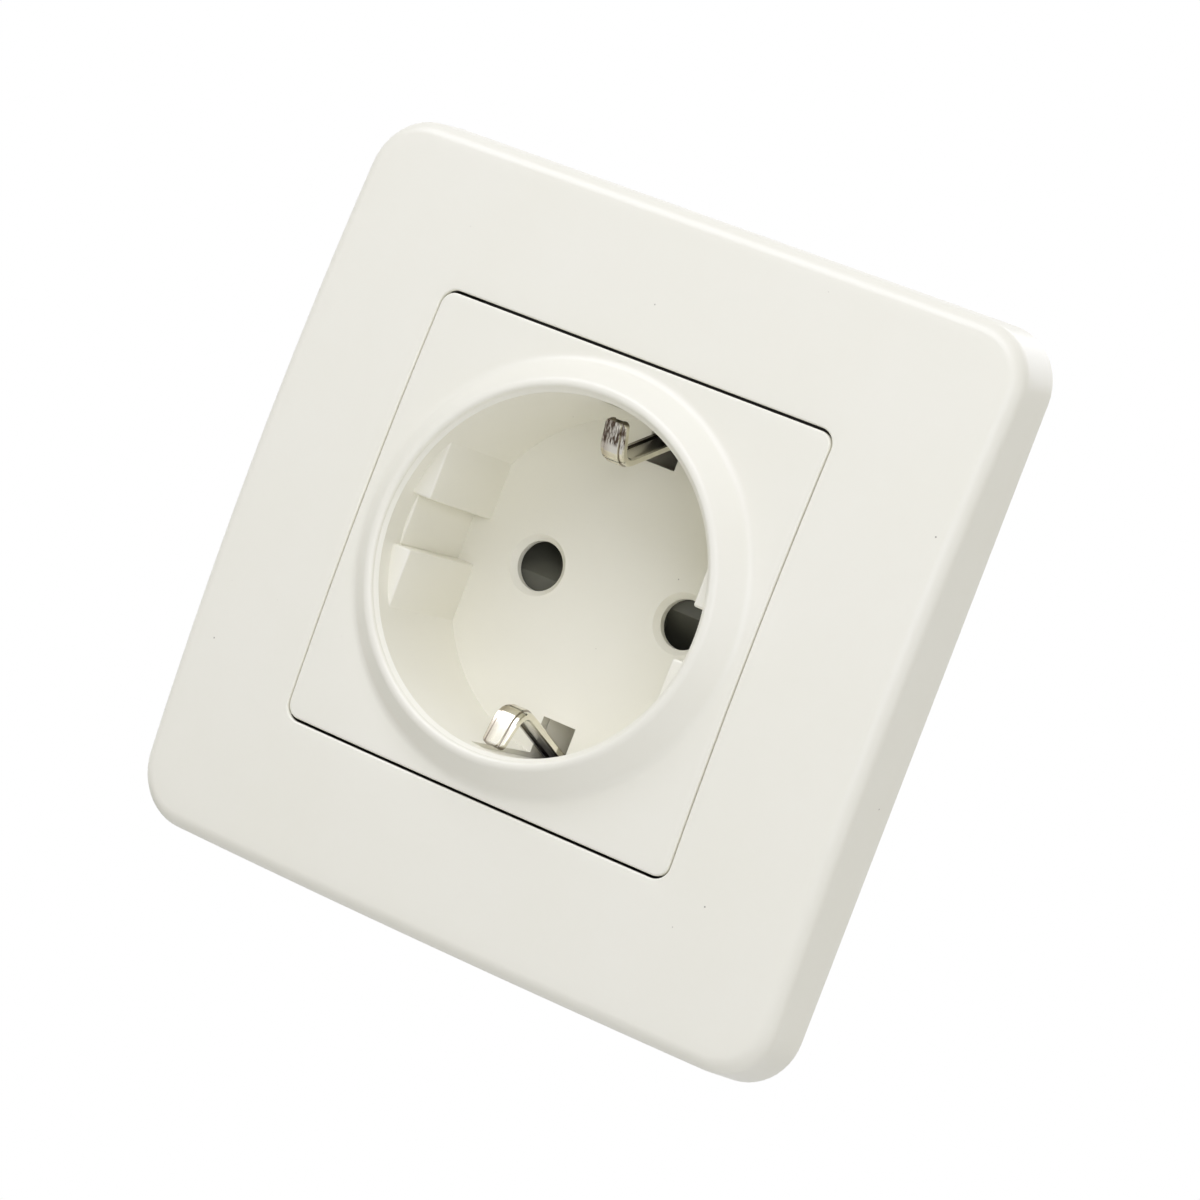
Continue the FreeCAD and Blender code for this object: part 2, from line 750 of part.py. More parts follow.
def add_snap_arms(body):
    """Hooks left and right that catch behind the support ring."""
    arm = new_sketch(body, "arm_section", "XY_Plane")
    inner = ARM_OUTER + " - arm_thickness"
    nose = "ring_opening + hook_reach"
    root = "plate_thickness - face_height - overlap"
    outline(arm, [
        (inner, root),
        (ARM_OUTER, root),
        (ARM_OUTER, "0"),
        (nose, "0"),
        (nose, "hook_length / 4"),
        (ARM_OUTER, "hook_length"),
        (inner, "hook_length"),
    ])
    hook = pad(body, "snap_arm", arm, "arm_width", midplane=True)
    mirror(body, "snap_arm_pair", [hook], "YZ_Plane")


def make_shutter():
    """A turning shutter: each wing covers a pin hole and has a ramp that a pin pushes aside."""
    body = new_body("shutter")
    front = "( 0 - floor_sink - floor_wall - shutter_gap )"
    depth = "chamber_depth - 2 * shutter_gap"
    web = new_sketch(body, "web_outline", height=front)
    circle(web, "0", "0", "web_radius")
    pad(body, "web", web, "web_thickness", towards_back=True)
    hub = new_sketch(body, "hub_outline", height=front)
    circle(hub, "0", "0", "hub_radius")
    pad(body, "hub", hub, depth, towards_back=True)
    wing = new_sketch(body, "wing_section", "YZ_Plane", height="wing_start")
    near = "floor_sink + floor_wall + shutter_gap"
    flat_back = near + " + wing_skin"
    far = near + " + ramp_rise + wing_edge"
    slope = "( ramp_start + wing_trail ) / ramp_rise"
    foot = "wing_edge - wing_trail"
    outline(wing, [
        (near, "wing_lead"),
        (near, "ramp_start"),
        (near + " + ramp_rise", "0 - wing_trail"),
        (far, "0 - wing_trail"),
        (far, foot),
        (flat_back, foot + " + ( ramp_rise + wing_edge - wing_skin ) * " + slope),
        (flat_back, "wing_lead"),
    ])
    blade = pad(body, "wing", wing, "wing_radius - wing_start + overlap")
    repeat(body, "wing_pair", [blade], 2)
    trim = new_sketch(body, "trim_section", "XY_Plane")
    rectangle(trim, "wing_radius", near + " - overlap", "wing_radius + wing_lead", far + " + overlap")
    spin(body, "Groove", "trim", trim)
    peg = new_sketch(body, "peg_outline", height="0 - ( %s ) - web_thickness + overlap" % near)
    across, up = spring_peg(front_end=True)
    circle(peg, across, up, "peg_radius")
    pad(body, "peg", peg, "peg_length + overlap", towards_back=True)
    bore = new_sketch(body, "bore_outline", height=front)
    circle(bore, "0", "0", "pivot_radius + pivot_play")
    pocket(body, "bore", bore, depth)
    return body


def spring_peg(front_end):
    """Where the peg stands that a leg of the spring leans on: the shutter's, or the cover's."""
    swept = "0" if front_end else "360 * spring_turns"
    angle = "( spring_angle + %s ) * 1 deg" % swept
    along = "( spring_leg - peg_radius )"
    aside = "( spring_wire / 2 + peg_radius + peg_play )"
    sign = "" if front_end else "0 - "
    across = "( spring_radius - {0} ) * cos( {1} ) + ( {2}{3} ) * sin( {1} )"
    up = "( spring_radius - {0} ) * sin( {1} ) - ( {2}{3} ) * cos( {1} )"
    return across.format(aside, angle, sign, along), up.format(aside, angle, sign, along)


def make_shutter_cover():
    body = new_body("shutter_cover")
    disc = new_sketch(body, "disc_outline", height=CHAMBER_BACK)
    circle(disc, "0", "0", MODULE_RADIUS)
    pair_of_circles(disc, "pin_passage")
    pair_of_circles(disc, "shutter_screw_radius + screw_play", "( 0 - boss_across )", "boss_up")
    pad(body, "disc", disc, "cover_thickness", towards_back=True)
    peg = new_sketch(body, "peg_outline", height=CHAMBER_BACK + " - overlap")
    across, up = spring_peg(front_end=False)
    circle(peg, across, up, "peg_radius")
    pad(body, "peg", peg, "peg_length + overlap")
    return body


def make_support_ring():
    body = new_body("support_ring")
    sheet_outline = new_sketch(body, "ring_outline")
    half = "ring_side / 2"
    cut = "( ring_side / 2 - ring_bevel )"
    outline(sheet_outline, [
        (cut, "0 - " + half),
        (half, "0 - " + cut),
        (half, cut),
        (cut, half),
        ("0 - " + cut, half),
        ("0 - " + half, cut),
        ("0 - " + half, "0 - " + cut),
        ("0 - " + cut, "0 - " + half),
    ])
    circle(sheet_outline, "0", "0", "ring_opening")
    rivet_circles(sheet_outline, RIVET_HOLE)
    pad(body, "ring_sheet", sheet_outline, "ring_thickness")
    slot = new_sketch(body, "screw_slot_outline", height="ring_thickness")
    near = "( box_screw_spacing / 2 - ( box_slot_length - box_slot_width ) / 2 )"
    far = "( box_screw_spacing / 2 + ( box_slot_length - box_slot_width ) / 2 )"
    width = "box_slot_width / 2"
    outline(slot, [
        (near, "0 - " + width),
        (far, "0 - " + width, width, "left"),
        (far + " + " + width, "0", width, "left"),
        (far, width),
        (near, width, width, "left"),
        (near + " - " + width, "0", width, "left"),
    ])
    cut_slot = pocket(body, "screw_slot", slot, "ring_thickness")
    repeat(body, "screw_slots", [cut_slot], 4)
    lip = new_sketch(body, "lip_outline", height="ring_thickness - overlap")
    rectangle(lip, "0 - lip_length / 2", half + " - lip_thickness", "lip_length / 2", half)
    edge = pad(body, "lip", lip, "lip_height + overlap")
    repeat(body, "lips", [edge], 4)
    return body


def make_base_housing():
    body = new_body("base_housing")
    shell = new_sketch(body, "base_outline")
    rounded_square(shell, "base_side", "base_corner")
    pad(body, "base_block", shell, "base_depth", towards_back=True)
    for name, radius, depth in (
        ("recess", "base_recess", "base_recess_depth"),
        ("module_well", "base_well", "base_well_depth"),
    ):
        hole = new_sketch(body, name + "_outline")
        circle(hole, "0", "0", radius)
        pocket(body, name, hole, depth)
    channel = new_sketch(body, "earth_channel_outline")
    reach = "leg_reach + strip_thickness / 2 + trench_play"
    half = "strip_width / 2 + trench_play"
    rectangle(channel, "0 - ( %s )" % half, "0 - ( %s )" % reach, half, reach)
    pocket(body, "earth_channel", channel, "base_well_depth")
    notch = new_sketch(body, "notch_outline")
    outer = "base_side / 2 + overlap"
    rectangle(notch, "0 - ( %s )" % outer, "0 - notch_width / 2", outer, "notch_width / 2")
    pocket(body, "hook_notches", notch, "wall_notch")

    # Chambers that open at the back
    back = new_sketch(body, "chamber_outline", height="0 - base_depth")
    for side in ("", "0 - "):
        near, far = side + "chamber_inner", side + "chamber_outer"
        left, right = (near, far) if side == "" else (far, near)
        rectangle(back, left, "0 - chamber_half", right, "chamber_half")
    half = "earth_chamber_half"
    rectangle(back, "0 - " + half, "earth_chamber_floor", half, "chamber_outer")
    depth = "base_depth - base_well_depth - base_web"
    pocket(body, "chambers", back, depth, towards_front=True)
    passages = new_sketch(body, "passage_outline", height="0 - base_well_depth")
    pair_of_circles(passages, "pin_passage")
    half = "tab_width / 2 + tab_play"
    foot = BLOCK_INNER + " - strip_thickness - tab_play"
    rectangle(passages, "0 - ( %s )" % half, foot, half, BLOCK_INNER + " + tab_play")
    pocket(body, "passages", passages, "base_web + overlap")
    rivets = new_sketch(body, "rivet_outline")
    rivet_circles(rivets, RIVET_HOLE)
    pocket(body, "rivet_holes", rivets, "base_depth")

    # Screwdriver holes to the terminal screws
    side = new_sketch(body, "side_access_outline", "YZ_Plane", height=BLOCK_OUTER)
    circle(side, "0 - " + SCREW_HEIGHT, "0", "screw_access")
    cut = pocket(body, "side_access", side, "base_side / 2", towards_front=True)
    mirror(body, "side_access_pair", [cut], "YZ_Plane")
    top = new_sketch(body, "top_access_outline", "XY_Plane", height=BLOCK_OUTER)
    circle(top, "0", "0 - " + SCREW_HEIGHT, "screw_access")
    pocket(body, "top_access", top, "base_side / 2", towards_front=True)
    return body


def make_rear_cover():
    body = new_body("rear_cover")
    back = new_sketch(body, "cover_outline", height="0 - base_depth")
    rounded_square(back, "base_side", "base_corner")
    pair_of_circles(back, "wire_funnel", WIRE_REACH)
    circle(back, "0", WIRE_REACH, "wire_funnel")
    rivet_circles(back, RIVET_HOLE)
    pad(body, "cover_plate", back, "back_thickness", towards_back=True)
    return body


# Bent sheet metal
def bent_strip(body, points, bend, across, width, thickness, bead=None):
    """A symmetric strip. Half of it is swept along points in (Y, Z), from the mid-plane on, then mirrored."""
    spine = new_sketch(body, "spine", "YZ_Plane", height=across)
    bent_line(spine, points, bend)
    section = new_sketch(body, "section", "XY_Plane")
    left = across + " - %s / 2" % width
    right = across + " + %s / 2" % width
    front = points[0][0] + " - %s / 2" % thickness
    back = points[0][0] + " + %s / 2" % thickness
    corners = [(left, back), (right, back), (right, front)]
    if bead:
        corners += [
            (across + " + bead_width / 2", front),
            (across + " + bead_width / 2", front + " - " + bead),
            (across + " - bead_width / 2", front + " - " + bead),
            (across + " - bead_width / 2", front),
        ]
    outline(section, corners + [(left, front)])
    sweep = body.newObject("PartDesign::AdditivePipe", "half_strip")
    sweep.Profile = section
    sweep.Spine = (spine, ["Edge%d" % number for number in range(1, 2 * len(points) - 2)])
    doc.recompute()
    mirror(body, "strip", [sweep], "XY_Plane")


def turn_about_axis(body, angle):
    """Turn a finished piece about the well's axis, anticlockwise as seen from the front."""
    body.Placement = FreeCAD.Placement(V(0, 0, 0), FreeCAD.Rotation(V(0, -1, 0), angle))
    doc.recompute()
    return body


def make_earth_bracket():
    """One strip from clip to clip, through the floor's slots and across the base, with a tab at the back."""
    body = new_body("earth_bracket")
    level = "( 0 - %s )" % STRIP_HEIGHT
    path = [
        (level, "0"),
        (level, "leg_reach"),
        ("0 - leg_height", "leg_reach"),
        ("0 - nose_height", "nose_reach"),
        ("0 - tip_height", "tip_reach"),
    ]
    bent_strip(body, path, "strip_bend", "0", "strip_width", "strip_thickness", bead="bead_rise")
    tab = new_sketch(body, "tab_outline", height=STRIP_HEIGHT)
    foot = BLOCK_INNER + " - strip_thickness"
    rectangle(tab, "0 - tab_width / 2", foot, "tab_width / 2", BLOCK_INNER)
    pad(body, "tab", tab, "tab_length", towards_back=True)
    return body


def make_contact(name, angle):
    """A sprung fork that a pin slides into, with a tail to its terminal."""
    body = new_body(name)
    reach = "( contact_gap / 2 + contact_sheet / 2 )"
    path = [
        (CONTACT_BACK, "0"),
        (CONTACT_BACK, reach),
        (CONTACT_FRONT + " + contact_flare", reach),
        (CONTACT_FRONT, "contact_mouth / 2 + contact_sheet / 2"),
    ]
    bent_strip(body, path, "contact_bend", PIN_REACH, "contact_width", "contact_sheet")
    tail = new_sketch(body, "tail_outline", height="0 - " + CONTACT_BACK + " + contact_sheet / 2")
    rectangle(tail, PIN_REACH, "0 - tail_width / 2", BLOCK_INNER, "tail_width / 2")
    pad(body, "tail", tail, "contact_sheet", towards_back=True)
    return turn_about_axis(body, angle)


def make_grip_spring(name, angle):
    """A steel clip round the fork that keeps its grip on the pin."""
    body = new_body(name)
    back = "( %s + contact_sheet / 2 + clip_play + clip_sheet / 2 )" % CONTACT_BACK
    reach = "( contact_gap / 2 + contact_sheet + clip_play + clip_sheet / 2 )"
    path = [
        (back, "0"),
        (back, reach),
        (CONTACT_FRONT + " + contact_flare + 2 * clip_toe", reach),
        (CONTACT_FRONT + " + contact_flare + clip_toe", reach + " - clip_play + screw_play"),
    ]
    bent_strip(body, path, "clip_bend", PIN_REACH, "clip_width", "clip_sheet")
    return turn_about_axis(body, angle)


def make_terminal(name, angle):
    """A brass block with a hole for the wire and a screw hole that meets it."""
    body = new_body(name)
    plan = new_sketch(body, "block_outline", height="0 - base_depth")
    side = "( block_width / 2 )"
    inset = "( block_width / 2 - block_chamfer )"
    outline(plan, [
        (BLOCK_INNER, "0 - " + side),
        (BLOCK_OUTER + " - block_chamfer", "0 - " + side),
        (BLOCK_OUTER, "0 - " + inset),
        (BLOCK_OUTER, inset),
        (BLOCK_OUTER + " - block_chamfer", side),
        (BLOCK_INNER, side),
    ])
    circle(plan, WIRE_REACH, "0", "wire_hole")
    pad(body, "block", plan, "block_height")
    hole = new_sketch(body, "screw_hole_outline", "YZ_Plane", height=BLOCK_OUTER)
    circle(hole, "0 - " + SCREW_HEIGHT, "0", "screw_radius + screw_play")
    pocket(body, "screw_hole", hole, "block_thickness / 2")
    return turn_about_axis(body, angle)


def make_terminal_screw(name, angle):
    body = new_body(name)
    rise = "0 - " + SCREW_HEIGHT
    seat = BLOCK_OUTER + " + screw_lift"
    shank = new_sketch(body, "shank_outline", "YZ_Plane", height=WIRE_REACH + " + wire_hole")
    circle(shank, rise, "0", "screw_radius")
    pad(body, "shank", shank, "block_thickness / 2 - wire_hole + screw_lift + overlap")
    head = new_sketch(body, "head_outline", "YZ_Plane", height=seat)
    circle(head, rise, "0", "screw_head_radius")
    pad(body, "head", head, "screw_head_height")
    slot = new_sketch(body, "driver_slot_outline", "YZ_Plane", height=seat + " + screw_head_height")
    half = "screw_slot / 2"
    left = rise + " - screw_head_radius - overlap"
    right = rise + " + screw_head_radius + overlap"
    rectangle(slot, left, "0 - " + half, right, half)
    pocket(body, "driver_slot", slot, "screw_slot_depth")
    return turn_about_axis(body, angle)


# Turned and drawn fasteners, and the spring
def make_shutter_screws():
    body = new_body("shutter_screws")
    body.AllowCompound = True
    place = ("( 0 - boss_across )", "boss_up")
    shanks = new_sketch(body, "shank_outline", height=MODULE_BACK + " - overlap")
    pair_of_circles(shanks, "shutter_screw_radius", *place)
    pad(body, "shanks", shanks, "shutter_screw_length + overlap")
    heads = new_sketch(body, "head_outline", height=MODULE_BACK)
    pair_of_circles(heads, "shutter_head_radius", *place)
    pad(body, "heads", heads, "shutter_head_height", towards_back=True)
    return body


def make_housing_rivets():
    """Long rivets that hold the support ring, the housing and the rear cover together."""
    body = new_body("housing_rivets")
    body.AllowCompound = True
    back = "( 0 - base_depth - back_thickness )"
    shanks = new_sketch(body, "shank_outline", height=back)
    rivet_circles(shanks, "rivet_radius")
    pad(body, "shanks", shanks, "ring_thickness + base_depth + back_thickness")
    front_heads = new_sketch(body, "front_head_outline", height="ring_thickness")
    rivet_circles(front_heads, "rivet_head_radius")
    pad(body, "front_heads", front_heads, "rivet_head_height")
    back_heads = new_sketch(body, "back_head_outline", height=back)
    rivet_circles(back_heads, "rivet_head_radius")
    pad(body, "back_heads", back_heads, "rivet_head_height", towards_back=True)
    return body


def make_shutter_spring():
    """A torsion spring round the shutter's hub, with one leg on each peg."""
    body = new_body("shutter_spring")
    front = "( floor_sink + floor_wall + shutter_gap + web_thickness + spring_lift )"
    back = front + " + spring_pitch * spring_turns"
    wire_corners = range(0, 360, 360 // SPRING_SIDES)
    coil_start = new_sketch(body, "wire_section", "YZ_Plane")
    outline(coil_start, chords(front, "spring_radius", "spring_wire / 2", wire_corners))
    coil = body.newObject("PartDesign::AdditiveHelix", "coil")
    coil.Profile = coil_start
    coil.ReferenceAxis = (origin_item(body, "Y_Axis"), [""])
    coil.Mode = "pitch-turns-angle"
    bind(coil, "Pitch", "spring_pitch")
    bind(coil, "Turns", "spring_turns")
    coil.LeftHanded = True
    doc.recompute()
    front_leg = new_sketch(body, "front_leg_section", "YZ_Plane")
    outline(front_leg, chords(front, "spring_radius", "spring_wire / 2", wire_corners))
    pad(body, "front_leg", front_leg, "spring_leg")
    back_leg = new_sketch(body, "back_leg_section", "XY_Plane")
    outline(back_leg, chords("0 - spring_radius", back, "spring_wire / 2", wire_corners))
    pad(body, "back_leg", back_leg, "spring_leg", towards_back=True)
    return turn_about_axis(body, value("spring_angle") - 90)


def make_all():
    makers = (
        make_cover_frame,
        make_centre_plate,
        make_shutter,
        make_shutter_spring,
        make_shutter_cover,
        make_shutter_screws,
        make_support_ring,
        make_base_housing,
        make_rear_cover,
        make_housing_rivets,
        make_earth_bracket,
    )
    pieces = [maker() for maker in makers]
    for pole, angle in (("live", 0), ("neutral", 180), ("earth", 90)):
        pieces.append(make_terminal(pole + "_terminal", angle))
        pieces.append(make_terminal_screw(pole + "_screw", angle))
        if pole != "earth":
            pieces.append(make_contact(pole + "_contact", angle))
            pieces.append(make_grip_spring(pole + "_grip_spring", angle))
    return pieces


pieces = make_all()
failed = [item.Name for item in doc.Objects if "Invalid" in item.State or "Error" in item.State]
if failed:
    raise RuntimeError("These objects failed: " + ", ".join(failed))
for piece in pieces:
    if piece.Shape.isNull() or not piece.Shape.isValid():
        raise RuntimeError(piece.Label + " has no valid shape")
os.makedirs("parts", exist_ok=True)
for piece in pieces:
    piece.Shape.exportStep("parts/%s.step" % piece.Label)
    solids = len(piece.Shape.Solids)
    print("%-22s %d solid(s) %9.1f mm3" % (piece.Label, solids, piece.Shape.Volume))
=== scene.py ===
import json
from math import asin, atan2, cos, pi, radians, sin, sqrt, tan

import bmesh
import bpy
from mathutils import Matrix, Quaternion, Vector


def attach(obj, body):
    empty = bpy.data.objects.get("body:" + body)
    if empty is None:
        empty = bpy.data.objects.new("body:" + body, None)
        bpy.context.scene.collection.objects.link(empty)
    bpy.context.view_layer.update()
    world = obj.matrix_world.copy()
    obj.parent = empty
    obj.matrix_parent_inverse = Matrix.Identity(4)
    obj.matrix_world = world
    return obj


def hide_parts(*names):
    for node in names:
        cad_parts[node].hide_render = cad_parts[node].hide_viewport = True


# Flush wall socket, type F. Lengths here are millimetres, times MM where they reach Blender, except that
# noise scales, bump depths, the floor and the lamps are in metres.
# X runs right, Z up, and the front faces -Y. A height counts from the wall plane to the front.
MM = 0.001

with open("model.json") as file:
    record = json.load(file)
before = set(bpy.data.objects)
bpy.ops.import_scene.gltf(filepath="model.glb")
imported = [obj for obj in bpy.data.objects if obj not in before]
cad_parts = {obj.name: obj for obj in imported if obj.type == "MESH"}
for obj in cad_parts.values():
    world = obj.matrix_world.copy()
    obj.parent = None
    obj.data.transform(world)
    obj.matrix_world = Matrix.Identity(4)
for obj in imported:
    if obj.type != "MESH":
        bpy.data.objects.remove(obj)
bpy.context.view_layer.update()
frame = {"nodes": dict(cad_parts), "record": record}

# Camera, as the photograph was taken
CAMERA_SPOT = Vector((220.0, -423.3, 21.4))
CAMERA_AIM = Vector((5.6, -8.0, -0.3))
CAMERA_ROLL = radians(20.89)
CAMERA_LENS = 132.8

# Cover frame
FRAME_HALF = 42.0
FRAME_CORNER = 6.5
DRAFT_ANGLE = radians(3.0)
FRAME_ROUND = 1.8
FRAME_WALL = 2.2
FRAME_HOLLOW = 6.2
OPENING_HALF = 25.0
OPENING_CORNER = 1.85
EDGE_ROUND = 0.25
LEDGE_HEIGHT = 5.0
LEDGE_HALF = 23.0
COLLAR_HALF = 27.0
COLLAR_CORNER = 3.85
RING_TOP = 1.0
RIB_OFFSET = 14.0
RIB_THICKNESS = 1.2
RIB_DROP = 2.2
RIB_SINK = 0.2
OVERLAP = 0.1

# Crowned face
FACE_HEIGHT = 10.9
CROWN_RADIUS = 360.0

# Centre plate and its well
PLATE_HALF = 24.75
PLATE_CORNER = 1.6
PLATE_ACROSS = 1.0045
PLATE_UP = 0.9972
PLATE_UNDERSIDE = 7.9
SKIRT_WALL = 1.8
WELL_RADIUS = 19.5
WELL_DRAFT = 0.15
WELL_OUTER = 21.1
FLOOR = -4.3
FLOOR_BACK = -5.8
RIM_HEIGHT = 13.0
MOUTH_CHAMFER = 0.4
RIM_ROUND = 0.5
SHOULDER_ROUND = 1.0
COVE_ROUND = 1.7
SLOPE = radians(47.0)
COLLAR_FOOT = 24.3
GUIDE_CHORD = 17.0
GUIDE_HEIGHT = 10.0
GUIDE_ROUND = 0.6
GUIDE_SINK = 0.6
GUIDE_DEPTH = 0.9
CHANNEL_FOOT_HALF = 2.65
CHANNEL_TOP_HALF = 2.9
CHANNEL_BACK = 19.15
CHANNEL_HEIGHT = 8.7
PIN_REACH = 9.5
PIN_HOLE = 2.8
PIN_CHAMFER = 0.65
CUT_ABOVE = 0.5
CUT_BELOW = 1.0
SLOT_HALF = 2.1
SLOT_INNER = 15.0
SLOT_OUTER = 21.2
SLOT_WALL = 1.4
SLOT_HEIGHT = 9.4
POCKET_INSET = 0.3
SHAFT_WALL = 0.18
SHAFT_REACH = 20.4
SHAFT_BACK = -12.6
RAMP_REACH = 18.3
RAMP_FOOT = -14.0
CHAMBER_RADIUS = 13.7
CHAMBER_WALL = 1.1
CHAMBER_BACK = -11.4
PIVOT_RADIUS = 1.8
BOSS_RADIUS = 2.1
BOSS_SPOT = (-5.2, 9.7)
ARM_WIDTH = 8.0
ARM_SECTION = ((21.4, 8.2), (22.7, 8.2), (22.7, 0.0), (24.4, 0.0), (24.4, -0.45), (22.7, -1.8), (21.4, -1.8))

# Earth strip: its centreline as (across, height), from the middle of the base to the tip of each clip.
# In the photograph the upper clip stands a little further in than the lower one.
STRIP_FOOT = ((0.0, -13.6), (19.1, -13.6), (19.1, -7.0))
UPPER_CLIP = ((13.6, 6.1), (18.1, 8.0))
LOWER_CLIP = ((14.3, 6.8), (19.0, 8.4))
STRIP_BEND = 2.1
STRIP_HALF_WIDTH = 1.5
STRIP_TIP_SHARE = 0.9
STRIP_THICKNESS = 0.9
STRIP_EDGE = 0.15
BEAD_HALF_WIDTH = 1.0
BEAD_STEP = 0.16
BEAD_RISE = 0.2
TIP_ROUND = 0.5
TAB_HALF_WIDTH = 2.0
TAB_SPOT = (15.8, -13.6, -24.6)

# Painted shade in the seam above and below the plate: its line, half width, soft edge, first depth and fade
SEAM_LINE = 24.87
SEAM_HALF = 0.3
SEAM_FADE = 0.1
SEAM_SHADE_START = 0.35
SEAM_SHADE = 0.3

# Strip marks: painted shade in folds, on the left half and down the legs; scuffed upper clip, stained tips
FOLD_LINE = 0.94
FOLD_SHADE_WIDTH = 0.12
LEFT_SHADE_END = 0.1
SHADE_TOP = 5.0
SHADE_FOOT = -2.5
SCUFF_START = 15.2
SCUFF_END = 15.7
TIP_DEPTH = 5.5
TIP_FADE = 1.0
TIP_STAIN = 0.5

# How finely the skins are cut
SIDE_STEPS = 44
CORNER_STEPS = 12
ROUND_STEPS = 6
BEND_STEPS = 7
GUIDE_STEPS = 8
BEVEL_STEPS = 4
FRAME_FACE_STEPS = 10
PLATE_FACE_STEPS = 8
PEG_STEPS = 48
HOLE_STEPS = 72
CHAMBER_STEPS = 96
FLOOR_SHARES = (0.3, 0.6, 0.85)
SHARP_ANGLE = radians(32.0)
BEVEL_ANGLE = radians(50.0)
MERGE_DISTANCE = 0.0001


# Outlines
def square_outline(half, corner):
    """A rounded square's points, even by angle along its sides so that circles match it."""
    points = []
    reach = atan2(half - corner, half)
    for quarter in range(4):
        turned = quarter * pi / 2
        side = [
            (half, half * tan(-reach + 2 * reach * step / SIDE_STEPS)) for step in range(SIDE_STEPS + 1)
        ]
        arc = [
            (half - corner + corner * cos(angle), half - corner + corner * sin(angle))
            for angle in (pi / 2 * step / CORNER_STEPS for step in range(1, CORNER_STEPS))
        ]
        for x, z in side + arc:
            points.append((x * cos(turned) - z * sin(turned), x * sin(turned) + z * cos(turned)))
    return points


def in_opening(points):
    """The plate's outer outline, which sits close at the sides and leaves more room above and below."""
    return [(x * PLATE_ACROSS, z * PLATE_UP) for x, z in points]


PLATE_ANGLES = [atan2(z, x) for x, z in square_outline(PLATE_HALF, PLATE_CORNER)]


def circle_outline(radius):
    return [(radius * cos(angle), radius * sin(angle)) for angle in PLATE_ANGLES]


def mixed(first, second, share):
    return [
        (x0 + (x1 - x0) * share, z0 + (z1 - z0) * share) for (x0, z0), (x1, z1) in zip(first, second)
    ]


def crown(x, z):
    """The crowned face's height at a place."""
    return FACE_HEIGHT - CROWN_RADIUS + sqrt(CROWN_RADIUS**2 - x * x - z * z)


def at_height(points, height):
    return [Vector((x, -height, z)) * MM for x, z in points]


def on_crown(points, drop=0.0):
    return [Vector((x, drop - crown(x, z), z)) * MM for x, z in points]


def even_angles(steps, start=0.0, end=pi / 2):
    """Angles in even steps, over a quarter turn unless told otherwise."""
    return [start + (end - start) * step / steps for step in range(steps + 1)]


# Meshes
def smooth_over(mesh):
    """Smooth shading that breaks at sharp edges."""
    for face in mesh.faces:
        face.smooth = True
    for edge in mesh.edges:
        edge.smooth = len(edge.link_faces) == 2 and edge.calc_face_angle(0.0) < SHARP_ANGLE


def finished(name, mesh, node_slot):
    """An object from a bmesh, with the material of its slot."""
    bmesh.ops.remove_doubles(mesh, verts=mesh.verts, dist=MERGE_DISTANCE * MM)
    bmesh.ops.recalc_face_normals(mesh, faces=mesh.faces)
    smooth_over(mesh)
    data = bpy.data.meshes.new(name)
    mesh.to_mesh(data)
    mesh.free()
    made = bpy.data.objects.new(name, data)
    bpy.context.scene.collection.objects.link(made)
    data.materials.append(MATERIALS[node_slot])
    return made


def add_skin(mesh, rings, closed=False):
    """Quads between rings of as many points each. A ring of one point is a pole."""
    rows = [[mesh.verts.new(point) for point in ring] for ring in rings]
    pairs = list(zip(rows, rows[1:]))
    if closed:
        pairs.append((rows[-1], rows[0]))
    for lower, upper in pairs:
        count = max(len(lower), len(upper))
        for index in range(count):
            after = (index + 1) % count
            corners = [lower[index % len(lower)], lower[after % len(lower)]]
            corners += [upper[after % len(upper)], upper[index % len(upper)]]
            mesh.faces.new(list(dict.fromkeys(corners)))


def add_solid(mesh, outlines):
    """A closed solid through outlines of as many points each, with one face at both ends."""
    rows = [[mesh.verts.new(point) for point in outline] for outline in outlines]
    count = len(rows[0])
    for lower, upper in zip(rows, rows[1:]):
        for index in range(count):
            after = (index + 1) % count
            mesh.faces.new((lower[index], lower[after], upper[after], upper[index]))
    mesh.faces.new(rows[0])
    mesh.faces.new(rows[-1])


def add_prism(mesh, outline, low, high, upright=False):
    """A straight prism over an (x, z) outline between two heights, or upright over an (x, height) one."""
    if upright:
        ends = [[Vector((a, -b, level)) * MM for a, b in outline] for level in (low, high)]
    else:
        ends = [[Vector((a, -level, b)) * MM for a, b in outline] for level in (low, high)]
    add_solid(mesh, ends)


def box_outline(left, low, right, high):
    return [(left, low), (right, low), (right, high), (left, high)]


def round_outline(across, up, radius, steps=PEG_STEPS):
    return [
        (across + radius * cos(2 * pi * step / steps), up + radius * sin(2 * pi * step / steps))
        for step in range(steps)
    ]


def cut_away(target, cutter_mesh, name):
    """Cut a bmesh out of an object, for good."""
    data = bpy.data.meshes.new(name)
    bmesh.ops.recalc_face_normals(cutter_mesh, faces=cutter_mesh.faces)
    cutter_mesh.to_mesh(data)
    cutter_mesh.free()
    cutter = bpy.data.objects.new(name, data)
    bpy.context.scene.collection.objects.link(cutter)
    modifier = target.modifiers.new(name, "BOOLEAN")
    modifier.operation = "DIFFERENCE"
    modifier.solver = "EXACT"
    modifier.object = cutter
    bake_modifiers(target)
    bpy.data.objects.remove(cutter)
    bpy.data.meshes.remove(data)


def bake_modifiers(target):
    evaluated = target.evaluated_get(bpy.context.evaluated_depsgraph_get())
    baked = bpy.data.meshes.new_from_object(evaluated)
    target.modifiers.clear()
    old = target.data
    target.data = baked
    bpy.data.meshes.remove(old)
    mesh = bmesh.new()
    mesh.from_mesh(baked)
    smooth_over(mesh)
    mesh.to_mesh(baked)
    mesh.free()


